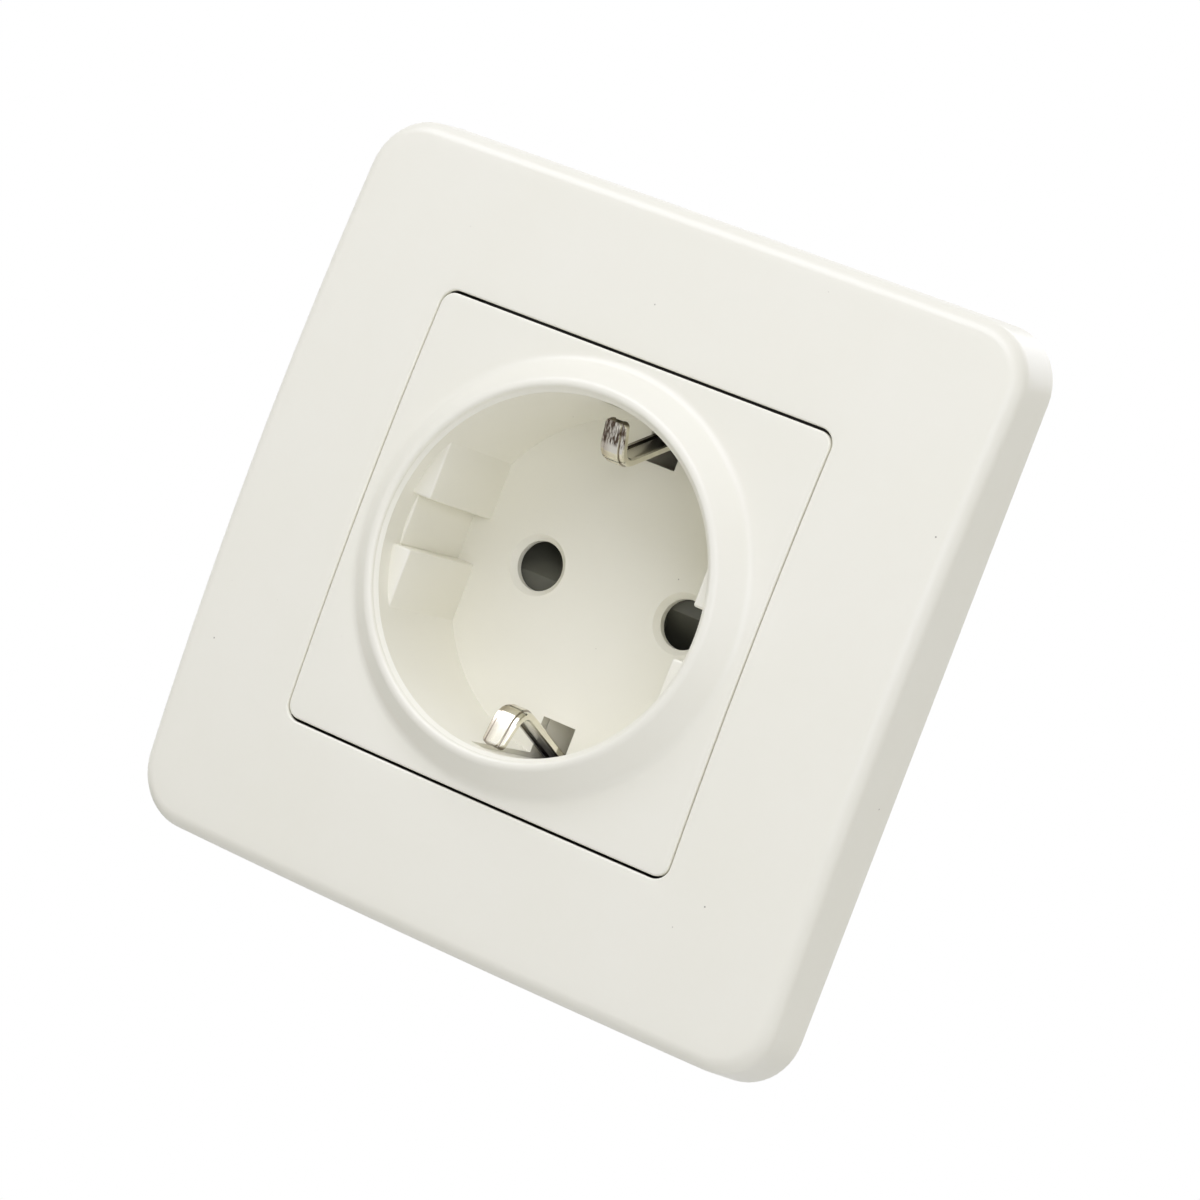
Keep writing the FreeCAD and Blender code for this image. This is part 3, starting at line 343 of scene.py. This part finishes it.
# Materials
def new_material(name, colour, roughness, metallic=0.0):
    material = bpy.data.materials.new(name)
    material.use_nodes = True
    shader = material.node_tree.nodes["Principled BSDF"]
    shader.inputs["Base Color"].default_value = (*colour, 1.0)
    shader.inputs["Roughness"].default_value = roughness
    shader.inputs["Metallic"].default_value = metallic
    return material, material.node_tree, shader


def add_noise(tree, scale, detail=4.0, stretch=(1.0, 1.0, 1.0)):
    """Noise in the object's own coordinates, which are metres."""
    place = tree.nodes.new("ShaderNodeTexCoord")
    mapping = tree.nodes.new("ShaderNodeMapping")
    mapping.inputs["Scale"].default_value = stretch
    noise = tree.nodes.new("ShaderNodeTexNoise")
    noise.inputs["Scale"].default_value = scale
    noise.inputs["Detail"].default_value = detail
    tree.links.new(place.outputs["Object"], mapping.inputs["Vector"])
    tree.links.new(mapping.outputs["Vector"], noise.inputs["Vector"])
    return noise.outputs["Fac"]


def add_clouds(tree, scale, start, dark, end, light):
    """Two colours mixed by a noise, from the dark one at start to the light one at end."""
    ramp = tree.nodes.new("ShaderNodeValToRGB")
    for element, position, colour in zip(ramp.color_ramp.elements, (start, end), (dark, light)):
        element.position = position
        element.color = (*colour, 1.0)
    tree.links.new(add_noise(tree, scale), ramp.inputs["Fac"])
    return ramp.outputs["Color"]


def vary_roughness(tree, shader, factor, low, high):
    spread = tree.nodes.new("ShaderNodeMapRange")
    spread.inputs["To Min"].default_value = low
    spread.inputs["To Max"].default_value = high
    tree.links.new(factor, spread.inputs["Value"])
    tree.links.new(spread.outputs["Result"], shader.inputs["Roughness"])


def add_bump(tree, shader, factor, strength, depth):
    bump = tree.nodes.new("ShaderNodeBump")
    bump.inputs["Strength"].default_value = strength
    bump.inputs["Distance"].default_value = depth
    tree.links.new(factor, bump.inputs["Height"])
    tree.links.new(bump.outputs["Normal"], shader.inputs["Normal"])


def add_math(tree, operation, first, second=None):
    node = tree.nodes.new("ShaderNodeMath")
    node.operation = operation
    for socket, source in zip(node.inputs, (first, second)):
        if isinstance(source, bpy.types.NodeSocket):
            tree.links.new(source, socket)
        elif source is not None:
            socket.default_value = source
    return node.outputs["Value"]


def add_range(tree, factor, start, end, low=0.0, high=1.0):
    """A value that runs smoothly from low to high while the factor runs from start to end."""
    spread = tree.nodes.new("ShaderNodeMapRange")
    spread.interpolation_type = "SMOOTHSTEP"
    spread.inputs["From Min"].default_value = start
    spread.inputs["From Max"].default_value = end
    spread.inputs["To Min"].default_value = low
    spread.inputs["To Max"].default_value = high
    tree.links.new(factor, spread.inputs["Value"])
    return spread.outputs["Result"]


def tint(tree, colour, share, toward):
    """Mix a colour towards another, by a share."""
    mix = tree.nodes.new("ShaderNodeMix")
    mix.data_type = "RGBA"
    tree.links.new(share, mix.inputs["Factor"])
    tree.links.new(colour, mix.inputs["A"])
    mix.inputs["B"].default_value = (*toward, 1.0)
    return mix.outputs["Result"]


def face_plastic():
    """Glossy cream-white thermoset with faint clouds, orange peel, dust specks and painted shade in the seam.
    """
    cream = (0.95, 0.932, 0.82)
    dust = (0.2, 0.16, 0.12)
    # Tone of the painted shade in the seam
    seam_shade_tone = (0.05, 0.035, 0.025)
    material, tree, shader = new_material("face_plastic", cream, 0.3)
    colour = add_clouds(tree, 60.0, 0.3, (0.944, 0.926, 0.81), 0.7, (0.956, 0.938, 0.83))
    place = tree.nodes.new("ShaderNodeTexCoord")
    specks = tree.nodes.new("ShaderNodeTexVoronoi")
    specks.inputs["Scale"].default_value = 220.0
    tree.links.new(place.outputs["Object"], specks.inputs["Vector"])
    dusty = add_range(tree, specks.outputs["Distance"], 0.01, 0.03, 0.7, 0.0)
    colour = tint(tree, colour, dusty, dust)

    # Painted shade in the seam above and below the plate, darker the deeper it goes below the face
    spot = tree.nodes.new("ShaderNodeSeparateXYZ")
    tree.links.new(place.outputs["Object"], spot.inputs["Vector"])
    square = [add_math(tree, "POWER", spot.outputs[axis], 2.0) for axis in ("X", "Z")]
    sag = add_math(tree, "DIVIDE", add_math(tree, "ADD", *square), 2 * CROWN_RADIUS * MM)
    depth = add_math(tree, "SUBTRACT", add_math(tree, "ADD", spot.outputs["Y"], FACE_HEIGHT * MM), sag)
    from_seam = add_math(tree, "SUBTRACT", add_math(tree, "ABSOLUTE", spot.outputs["Z"]), SEAM_LINE * MM)
    away = add_math(tree, "ABSOLUTE", from_seam)
    near_seam = add_range(tree, away, SEAM_HALF * MM, (SEAM_HALF + SEAM_FADE) * MM, 1.0, 0.0)
    across = add_math(tree, "ABSOLUTE", spot.outputs["X"])
    in_reach = add_range(tree, across, OPENING_HALF * MM, COLLAR_HALF * MM, 1.0, 0.0)
    near_seam = add_math(tree, "MULTIPLY", near_seam, in_reach)
    sunk = add_range(tree, depth, SEAM_SHADE_START * MM, (SEAM_SHADE_START + SEAM_SHADE) * MM)
    colour = tint(tree, colour, add_math(tree, "MULTIPLY", sunk, near_seam), seam_shade_tone)
    tree.links.new(colour, shader.inputs["Base Color"])
    vary_roughness(tree, shader, add_noise(tree, 220.0), 0.26, 0.36)
    add_bump(tree, shader, add_noise(tree, 900.0, 2.0), 0.06, 0.00004)
    return material


def shutter_plastic():
    """Dark grey-green nylon."""
    material, tree, shader = new_material("shutter_plastic", (0.1, 0.1, 0.078), 0.5)
    colour = add_clouds(tree, 300.0, 0.3, (0.088, 0.088, 0.068), 0.7, (0.112, 0.112, 0.088))
    tree.links.new(colour, shader.inputs["Base Color"])
    add_bump(tree, shader, add_noise(tree, 2500.0), 0.2, 0.00004)
    return material


def base_plastic():
    """Matte moulded box in pale grey."""
    material, tree, shader = new_material("base_plastic", (0.6, 0.57, 0.5), 0.55)
    colour = add_clouds(tree, 90.0, 0.3, (0.57, 0.54, 0.47), 0.7, (0.63, 0.6, 0.53))
    tree.links.new(colour, shader.inputs["Base Color"])
    add_bump(tree, shader, add_noise(tree, 3000.0), 0.25, 0.00005)
    return material


def metal(name, colour, darker, low, high, stretch=(1.0, 1.0, 1.0)):
    """Bare metal between two tones, with a roughness from low to high."""
    material, tree, shader = new_material(name, colour, (low + high) / 2, 1.0)
    tree.links.new(add_clouds(tree, 100.0, 0.35, darker, 0.65, colour), shader.inputs["Base Color"])
    grain = add_noise(tree, 400.0, 6.0, stretch)
    vary_roughness(tree, shader, grain, low, high)
    add_bump(tree, shader, grain, 0.1, 0.00003)
    return material


def nickel_plate():
    """Bright plating with painted shade in its folds, on its left half and down the legs, and a scuffed tip
    on the upper clip.
    """
    # Tones of the painted shade on the left half, in the folds and down the legs, then of real scuffs and
    # stains
    dull_shade_tone = (0.42, 0.34, 0.25)
    fold_shade_tone = (0.16, 0.12, 0.09)
    leg_shade_tone = (0.02, 0.017, 0.014)
    scuff_tone = (0.1, 0.07, 0.05)
    stain_tone = (0.13, 0.09, 0.06)
    material, tree, shader = new_material("nickel_plate", (0.9, 0.88, 0.83), 0.1, 1.0)
    place = tree.nodes.new("ShaderNodeTexCoord")
    spot = tree.nodes.new("ShaderNodeSeparateXYZ")
    tree.links.new(place.outputs["Object"], spot.inputs["Vector"])
    facing = tree.nodes.new("ShaderNodeSeparateXYZ")
    tree.links.new(place.outputs["Normal"], facing.inputs["Vector"])

    colour = add_clouds(tree, 250.0, 0.35, (0.76, 0.73, 0.64), 0.65, (0.9, 0.87, 0.75))
    across = add_math(tree, "ABSOLUTE", spot.outputs["X"])
    # Painted shade in the folds along the pressed panel's edges
    near_step = add_math(tree, "ABSOLUTE", add_math(tree, "SUBTRACT", across, FOLD_LINE * MM))
    fold_shade = add_range(tree, near_step, 0.0, FOLD_SHADE_WIDTH * MM, 0.8, 0.0)
    # Painted shade over the strip's left half, fading out just past the middle
    left_shade = add_range(tree, spot.outputs["X"], -FOLD_LINE * MM, LEFT_SHADE_END * MM, 0.55, 0.0)
    colour = tint(tree, colour, left_shade, dull_shade_tone)
    colour = tint(tree, colour, fold_shade, fold_shade_tone)

    # Painted shade on the legs' faces turned away from the middle, darker towards the wall
    outward = add_math(tree, "MULTIPLY", facing.outputs["Z"], add_math(tree, "SIGN", spot.outputs["Z"]))
    down = add_range(tree, spot.outputs["Y"], -SHADE_TOP * MM, -SHADE_FOOT * MM, 0.15, 0.97)
    leg_shade = add_math(tree, "MULTIPLY", add_range(tree, outward, 0.1, 0.5), down)
    colour = tint(tree, colour, leg_shade, leg_shade_tone)

    scuffs = add_noise(tree, 5500.0, 4.0, (1.0, 0.2, 0.2))
    inward = add_range(tree, outward, -0.2, 0.0, 1.0, 0.0)
    upper_tip = add_range(tree, spot.outputs["Z"], SCUFF_START * MM, SCUFF_END * MM)
    tip = add_math(tree, "MULTIPLY", upper_tip, inward)
    worn = add_math(tree, "MULTIPLY", add_range(tree, scuffs, 0.33, 0.58), tip)
    colour = tint(tree, colour, worn, scuff_tone)
    front = add_range(tree, spot.outputs["Y"], -TIP_DEPTH * MM, -(TIP_DEPTH + TIP_FADE) * MM)
    reach = add_math(tree, "ABSOLUTE", spot.outputs["Z"])
    for limit, sign in ((UPPER_CLIP[1][0], 1.0), (LOWER_CLIP[1][0], -1.0)):
        side = add_range(tree, add_math(tree, "MULTIPLY", spot.outputs["Z"], sign), 0.0, TIP_FADE * MM)
        edge = add_range(tree, reach, (limit - TIP_STAIN) * MM, limit * MM, 0.0, 0.85)
        stain = add_math(tree, "MULTIPLY", add_math(tree, "MULTIPLY", edge, side), front)
        colour = tint(tree, colour, stain, stain_tone)
    tree.links.new(colour, shader.inputs["Base Color"])

    vary_roughness(tree, shader, add_noise(tree, 400.0, 6.0), 0.08, 0.18)
    add_bump(tree, shader, scuffs, 0.25, 0.00003)
    return material


MATERIALS = {
    "face_plastic": face_plastic(),
    "shutter_plastic": shutter_plastic(),
    "base_plastic": base_plastic(),
    "spring_steel": metal("spring_steel", (0.55, 0.56, 0.58), (0.4, 0.41, 0.43), 0.2, 0.35),
    "plated_steel": metal("plated_steel", (0.62, 0.62, 0.6), (0.5, 0.5, 0.47), 0.28, 0.42, (1, 8, 1)),
    "rivet_metal": metal("rivet_metal", (0.66, 0.66, 0.67), (0.55, 0.55, 0.56), 0.3, 0.45),
    "nickel_plate": nickel_plate(),
    "brass": metal("brass", (0.68, 0.49, 0.2), (0.55, 0.38, 0.14), 0.25, 0.4),
}

slots = {part["node"]: part["material_slot"] for part in frame["record"]["subparts"]}
for node, thing in frame["nodes"].items():
    thing.data.materials.clear()
    thing.data.materials.append(MATERIALS[slots[node]])


# Cover frame
def make_frame():
    mesh = bmesh.new()
    front_half = FRAME_HALF - (FACE_HEIGHT - FRAME_ROUND) * tan(DRAFT_ANGLE)
    rings = []
    for angle in even_angles(ROUND_STEPS, pi / 2, 0.0):
        back = EDGE_ROUND * (1 - sin(angle))
        outline = square_outline(OPENING_HALF + back, OPENING_CORNER + back)
        rings.append(on_crown(outline, EDGE_ROUND * (1 - cos(angle))))
    inner = square_outline(OPENING_HALF + EDGE_ROUND, OPENING_CORNER + EDGE_ROUND)
    outer = square_outline(front_half - FRAME_ROUND, FRAME_CORNER - FRAME_ROUND)
    for step in range(1, FRAME_FACE_STEPS):
        rings.append(on_crown(mixed(inner, outer, step / FRAME_FACE_STEPS)))
    for angle in even_angles(ROUND_STEPS * 2, 0.0, pi / 2 - DRAFT_ANGLE):
        inset = FRAME_ROUND * (1 - sin(angle))
        outline = square_outline(front_half - inset, FRAME_CORNER - inset)
        rings.append(on_crown(outline, FRAME_ROUND * (1 - cos(angle))))
    inside = FRAME_HALF - FRAME_WALL
    for half, corner, height in (
        (FRAME_HALF, FRAME_CORNER, 0.0),
        (inside, FRAME_CORNER - FRAME_WALL, 0.0),
        (inside, FRAME_CORNER - FRAME_WALL, FRAME_HOLLOW),
        (COLLAR_HALF, COLLAR_CORNER, FRAME_HOLLOW),
        (COLLAR_HALF, COLLAR_CORNER, RING_TOP),
        (LEDGE_HALF, PLATE_CORNER, RING_TOP),
        (LEDGE_HALF, PLATE_CORNER, LEDGE_HEIGHT),
        (OPENING_HALF, OPENING_CORNER, LEDGE_HEIGHT),
    ):
        rings.append(at_height(square_outline(half, corner), height))
    add_skin(mesh, rings, closed=True)
    near, far = COLLAR_HALF - RIB_SINK, inside + RIB_SINK
    for side in (-RIB_OFFSET, RIB_OFFSET):
        low, high = side - RIB_THICKNESS / 2, side + RIB_THICKNESS / 2
        for sign in (-1, 1):
            edges = sorted((sign * near, sign * far))
            add_prism(mesh, box_outline(low, edges[0], high, edges[1]), RIB_DROP, FRAME_HOLLOW + OVERLAP)
            add_prism(mesh, box_outline(edges[0], low, edges[1], high), RIB_DROP, FRAME_HOLLOW + OVERLAP)
    made = finished("frame_skin", mesh, "face_plastic")
    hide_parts("cover_frame")
    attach(made, "socket")


# Centre plate, well, guides and what stands behind the floor
def plate_skin():
    """The plate's face, collar, well and skirt in one skin, with its slots and pin holes cut."""
    mesh = bmesh.new()
    rings = [at_height([(0.0, 0.0)], FLOOR)]
    for share in FLOOR_SHARES:
        rings.append(at_height(circle_outline((WELL_RADIUS - WELL_DRAFT) * share), FLOOR))
    rings.append(at_height(circle_outline(WELL_RADIUS - WELL_DRAFT), FLOOR))
    chamfer_foot = RIM_HEIGHT - RIM_ROUND - MOUTH_CHAMFER
    rings.append(at_height(circle_outline(WELL_RADIUS), chamfer_foot))
    crest = WELL_RADIUS + MOUTH_CHAMFER + RIM_ROUND
    for angle in even_angles(ROUND_STEPS):
        radius = crest - RIM_ROUND * cos(angle)
        rings.append(at_height(circle_outline(radius), RIM_HEIGHT - RIM_ROUND * (1 - sin(angle))))
    for angle in even_angles(ROUND_STEPS, 0.0, SLOPE)[1:]:
        height = RIM_HEIGHT - SHOULDER_ROUND * (1 - cos(angle))
        rings.append(at_height(circle_outline(crest + SHOULDER_ROUND * sin(angle)), height))
    low = crown(COLLAR_FOOT, 0.0)
    for angle in even_angles(ROUND_STEPS, SLOPE, 0.0)[:-1]:
        height = low + COVE_ROUND * (1 - cos(angle))
        rings.append(at_height(circle_outline(COLLAR_FOOT - COVE_ROUND * sin(angle)), height))
    foot = circle_outline(COLLAR_FOOT)
    edge = in_opening(square_outline(PLATE_HALF - EDGE_ROUND, PLATE_CORNER - EDGE_ROUND))
    for step in range(PLATE_FACE_STEPS):
        rings.append(on_crown(mixed(foot, edge, step / PLATE_FACE_STEPS)))
    for angle in even_angles(ROUND_STEPS):
        inset = EDGE_ROUND * (1 - sin(angle))
        outline = in_opening(square_outline(PLATE_HALF - inset, PLATE_CORNER - inset))
        rings.append(on_crown(outline, EDGE_ROUND * (1 - cos(angle))))
    skirt = square_outline(PLATE_HALF - SKIRT_WALL, PLATE_CORNER)
    rings.append(at_height(in_opening(square_outline(PLATE_HALF, PLATE_CORNER)), LEDGE_HEIGHT))
    rings.append(at_height(skirt, LEDGE_HEIGHT))
    rings.append(at_height(skirt, PLATE_UNDERSIDE))
    rings.append(at_height(circle_outline(WELL_OUTER), PLATE_UNDERSIDE))
    rings.append(at_height(circle_outline(WELL_OUTER), FLOOR_BACK))
    rings.append(at_height([(0.0, 0.0)], FLOOR_BACK))
    add_skin(mesh, rings)
    plate = finished("plate_skin", mesh, "face_plastic")
    cut_away(plate, slot_cutter(), "slot_cutter")
    cut_away(plate, pin_cutter(), "pin_cutter")
    return plate


def pocket_walls():
    """Walls round both slots, beside the well and behind its floor, and a sloped face in the lower one."""
    mesh = bmesh.new()
    wide = SLOT_HALF + SLOT_WALL
    half = SLOT_HALF + SHAFT_WALL
    near, far = SLOT_INNER - SHAFT_WALL, SHAFT_REACH
    for side in (-1, 1):
        inner, outer = side * (WELL_RADIUS + POCKET_INSET), side * (SLOT_OUTER + SLOT_WALL)
        add_prism(mesh, box_outline(-wide, inner, wide, outer), FLOOR_BACK, PLATE_UNDERSIDE + OVERLAP)
        for left, right, start, end in (
            (-half, -SLOT_HALF, near, far),
            (SLOT_HALF, half, near, far),
            (-SLOT_HALF, SLOT_HALF, near, SLOT_INNER),
            (-SLOT_HALF, SLOT_HALF, far - SHAFT_WALL, far),
        ):
            low, high = sorted((side * start, side * end))
            add_prism(mesh, box_outline(left, low, right, high), SHAFT_BACK, FLOOR_BACK)
    ramp = [(-SLOT_HALF, FLOOR_BACK), (SLOT_HALF, RAMP_FOOT)]
    ramp += [(across, height - SHAFT_WALL) for across, height in reversed(ramp)]
    add_prism(mesh, ramp, -RAMP_REACH, SHAFT_WALL - SLOT_INNER, upright=True)
    walls = finished("pocket_walls", mesh, "face_plastic")
    cut_away(walls, slot_cutter(), "slot_cutter")
    return walls


def chamber_walls():
    """The shutter's round chamber with its pivot, two screw bosses and two snap arms."""
    mesh = bmesh.new()
    tube = [
        at_height(round_outline(0, 0, radius, CHAMBER_STEPS), height)
        for radius, height in (
            (CHAMBER_RADIUS, FLOOR_BACK),
            (CHAMBER_RADIUS, CHAMBER_BACK),
            (CHAMBER_RADIUS + CHAMBER_WALL, CHAMBER_BACK),
            (CHAMBER_RADIUS + CHAMBER_WALL, FLOOR_BACK),
        )
    ]
    add_skin(mesh, tube, closed=True)
    add_prism(mesh, round_outline(0, 0, PIVOT_RADIUS), CHAMBER_BACK, FLOOR_BACK)
    for sign in (-1, 1):
        boss = round_outline(sign * BOSS_SPOT[0], sign * BOSS_SPOT[1], BOSS_RADIUS)
        add_prism(mesh, boss, CHAMBER_BACK, FLOOR_BACK)
        arm = [(sign * across, height) for across, height in ARM_SECTION]
        add_prism(mesh, arm, -ARM_WIDTH / 2, ARM_WIDTH / 2, upright=True)
    return finished("chamber_walls", mesh, "face_plastic")


def make_plate():
    for piece in (plate_skin(), pocket_walls(), chamber_walls(), guides()):
        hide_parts("centre_plate")
        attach(piece, "socket")


def slot_cutter():
    """Two straight slots for the earth clips."""
    mesh = bmesh.new()
    for side in (-1, 1):
        low, high = sorted((side * SLOT_INNER, side * SLOT_OUTER))
        outline = box_outline(-SLOT_HALF, low, SLOT_HALF, high)
        add_prism(mesh, outline, FLOOR_BACK - SHAFT_WALL / 2, SLOT_HEIGHT)
    return mesh


def pin_cutter():
    """Two round holes through the floor, each with a chamfered mouth."""
    mesh = bmesh.new()
    for across in (-PIN_REACH, PIN_REACH):
        levels = (
            (PIN_HOLE, FLOOR_BACK - CUT_BELOW),
            (PIN_HOLE, FLOOR - PIN_CHAMFER),
            (PIN_HOLE + PIN_CHAMFER, FLOOR),
            (PIN_HOLE + PIN_CHAMFER, FLOOR + CUT_ABOVE),
        )
        rings = [at_height([(across, 0.0)], levels[0][1])]
        for radius, height in levels:
            rings.append(at_height(round_outline(across, 0.0, radius, HOLE_STEPS), height))
        rings.append(at_height([(across, 0.0)], levels[-1][1]))
        add_skin(mesh, rings)
    return mesh


def guides():
    """Flat-faced guides with a narrow channel between them, on both sides of the well."""
    mesh = bmesh.new()
    grip = WELL_RADIUS + GUIDE_SINK
    foot = FLOOR - GUIDE_DEPTH
    for side in (-1, 1):
        for up in (-1, 1):
            end = asin(sqrt(grip**2 - GUIDE_CHORD**2) / grip)
            levels = []
            for height, half in ((foot, CHANNEL_FOOT_HALF), (GUIDE_HEIGHT, CHANNEL_TOP_HALF)):
                start = asin(half / grip)
                outline = [(side * GUIDE_CHORD, up * half)]
                for angle in even_angles(GUIDE_STEPS, start, end):
                    outline.append((side * grip * cos(angle), up * grip * sin(angle)))
                levels.append(at_height(outline, height))
            add_solid(mesh, levels)
        near, far = sorted((side * CHANNEL_BACK, side * grip))
        add_prism(mesh, box_outline(near, -CHANNEL_TOP_HALF, far, CHANNEL_TOP_HALF), foot, CHANNEL_HEIGHT)
    made = finished("guides", mesh, "face_plastic")
    rounding = made.modifiers.new("rounding", "BEVEL")
    rounding.width = GUIDE_ROUND * MM
    rounding.segments = BEVEL_STEPS
    rounding.limit_method = "ANGLE"
    rounding.angle_limit = BEVEL_ANGLE
    bake_modifiers(made)
    return made


# Earth strip with its two sprung clips
def rotated(way, swing):
    """A direction in the plane, turned by an angle."""
    return Vector((way.x * cos(swing) - way.y * sin(swing), way.x * sin(swing) + way.y * cos(swing)))


def bent_path(points, bend):
    """Centreline spots and headings, with an arc at each bend."""
    spots = [Vector((across, height)) for across, height in points]
    ways = [(after - before).normalized() for before, after in zip(spots, spots[1:])]
    track = [(spots[0], ways[0])]
    for corner, way, onward in zip(spots[1:], ways, ways[1:]):
        turn = way.angle_signed(onward)
        trim = bend * tan(abs(turn) / 2)
        start = corner - way * trim
        sign = 1 if way.cross(onward) > 0 else -1
        centre = start + Vector((-way.y, way.x)) * sign * bend
        for swing in even_angles(BEND_STEPS, 0.0, sign * abs(turn)):
            heading = rotated(way, swing)
            spot = centre + Vector((heading.y, -heading.x)) * sign * bend
            track.append((spot, heading))
    track.append((spots[-1], ways[-1]))
    return track


def strip_profile():
    """Across the strip: (x, rise), with rounded edges and a pressed panel on the side that faces the plug."""
    half, thick, edge = STRIP_HALF_WIDTH, STRIP_THICKNESS / 2, STRIP_EDGE
    inner, outer = BEAD_HALF_WIDTH - BEAD_STEP, BEAD_HALF_WIDTH
    rising = [
        (-outer, 0.0),
        (-outer + BEAD_STEP / 3, BEAD_RISE / 4),
        (-inner - BEAD_STEP / 3, BEAD_RISE * 3 / 4),
        (-inner, BEAD_RISE),
    ]
    panel = rising + [(-x, rise) for x, rise in reversed(rising)]
    back = [(-half, -thick + edge), (-half + edge, -thick)]
    back += [(x, rise - thick) for x, rise in panel]
    back += [(half - edge, -thick), (half, -thick + edge)]
    front = [(half, thick - edge), (half - edge, thick)]
    front += [(x, rise + thick) for x, rise in reversed(panel)]
    front += [(-half + edge, thick), (-half, thick - edge)]
    return back + front


def make_strip():
    mesh = bmesh.new()
    profile = strip_profile()
    for side, clip in ((-1, LOWER_CLIP), (1, UPPER_CLIP)):
        rings = []
        track = [(spot, heading, 1.0) for spot, heading in bent_path(STRIP_FOOT + clip, STRIP_BEND)]
        end, heading, _ = track.pop()
        for angle in even_angles(ROUND_STEPS):
            spot = end - heading * TIP_ROUND * (1 - sin(angle))
            track.append((spot, heading, STRIP_TIP_SHARE - TIP_ROUND * (1 - cos(angle)) / STRIP_HALF_WIDTH))
        for spot, heading, share in track:
            normal = Vector((-heading.y, heading.x))
            ring = []
            for x, rise in profile:
                place = spot + normal * rise
                ring.append(Vector((x * share, -place.y, side * place.x)) * MM)
            rings.append(ring)
        add_solid(mesh, rings)
    reach, top, bottom = TAB_SPOT
    half = STRIP_THICKNESS / 2
    add_prism(mesh, box_outline(-TAB_HALF_WIDTH, reach - half, TAB_HALF_WIDTH, reach + half), bottom, top)
    made = finished("earth_strip", mesh, "nickel_plate")
    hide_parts("earth_bracket")
    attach(made, "socket")


make_frame()
make_plate()
make_strip()


# Floor, light and camera
FLOOR_DROP = 0.3
FLOOR_HALF = 0.6
floor_paint, floor_tree, floor_shader = new_material("floor_paint", (0.8, 0.8, 0.8), 0.9)
vary_roughness(floor_tree, floor_shader, add_noise(floor_tree, 20.0), 0.85, 0.95)
add_bump(floor_tree, floor_shader, add_noise(floor_tree, 400.0), 0.1, 0.0002)
floor_mesh = bmesh.new()
bmesh.ops.create_grid(floor_mesh, x_segments=1, y_segments=1, size=FLOOR_HALF)
floor_data = bpy.data.meshes.new("floor")
floor_mesh.to_mesh(floor_data)
floor_mesh.free()
floor = bpy.data.objects.new("floor", floor_data)
floor.location.z = -FLOOR_DROP
floor_data.materials.append(floor_paint)
bpy.context.scene.collection.objects.link(floor)

WORLD_ABOVE = 0.28
WORLD_BELOW = 0.24
WORLD_TINT = (1.0, 0.96, 0.76)
LAMP_TINT = (0.98, 1.0, 1.15)
world = bpy.data.worlds.new("studio")
bpy.context.scene.world = world
world.use_nodes = True
tree = world.node_tree
tree.nodes.clear()
out = tree.nodes.new("ShaderNodeOutputWorld")
mix = tree.nodes.new("ShaderNodeMixShader")
soft = tree.nodes.new("ShaderNodeBackground")
white = tree.nodes.new("ShaderNodeBackground")
path = tree.nodes.new("ShaderNodeLightPath")
soft.inputs["Color"].default_value = (*WORLD_TINT, 1.0)
direction = tree.nodes.new("ShaderNodeTexCoord")
upward = tree.nodes.new("ShaderNodeSeparateXYZ")
tree.links.new(direction.outputs["Generated"], upward.inputs["Vector"])
strength = add_range(tree, upward.outputs["Z"], -0.5, 0.5, WORLD_BELOW, WORLD_ABOVE)
tree.links.new(strength, soft.inputs["Strength"])
white.inputs["Color"].default_value = (1.0, 1.0, 1.0, 1.0)
white.inputs["Strength"].default_value = 1.0
seen = path.outputs["Is Camera Ray"]
for kind in ("Is Glossy Ray", "Is Transmission Ray"):
    seen = add_math(tree, "MAXIMUM", seen, path.outputs[kind])
tree.links.new(seen, mix.inputs["Fac"])
tree.links.new(soft.outputs["Background"], mix.inputs[1])
tree.links.new(white.outputs["Background"], mix.inputs[2])
tree.links.new(mix.outputs["Shader"], out.inputs["Surface"])


def add_lamp(name, spot, width, height, power):
    """A flat area lamp that faces the socket."""
    data = bpy.data.lights.new(name, "AREA")
    data.shape = "RECTANGLE"
    data.size = width
    data.size_y = height
    data.energy = power
    data.color = LAMP_TINT
    lamp = bpy.data.objects.new(name, data)
    lamp.location = spot
    lamp.rotation_euler = (-Vector(spot)).to_track_quat("-Z", "Y").to_euler()
    bpy.context.scene.collection.objects.link(lamp)


add_lamp("key", (-0.3, -0.62, 0.8), 1.3, 0.6, 7.45)
add_lamp("fill", (0.55, -0.8, 0.15), 0.6, 0.6, 2.1)
add_lamp("side", (0.9, -0.15, 0.1), 0.6, 0.6, 1.0)
add_lamp("back", (0.2, 0.8, 0.6), 0.8, 0.8, 3.0)

camera_data = bpy.data.cameras.new("camera")
camera_data.lens = CAMERA_LENS
camera_data.sensor_width = 36.0
camera_data.clip_start = 0.01
camera = bpy.data.objects.new("camera", camera_data)
camera.location = CAMERA_SPOT * MM
level = (CAMERA_AIM - CAMERA_SPOT).to_track_quat("-Z", "Y")
camera.rotation_euler = (level @ Quaternion((0, 0, 1), CAMERA_ROLL)).to_euler()
bpy.context.scene.collection.objects.link(camera)
bpy.context.scene.camera = camera
bpy.context.scene.view_settings.view_transform = "Standard"
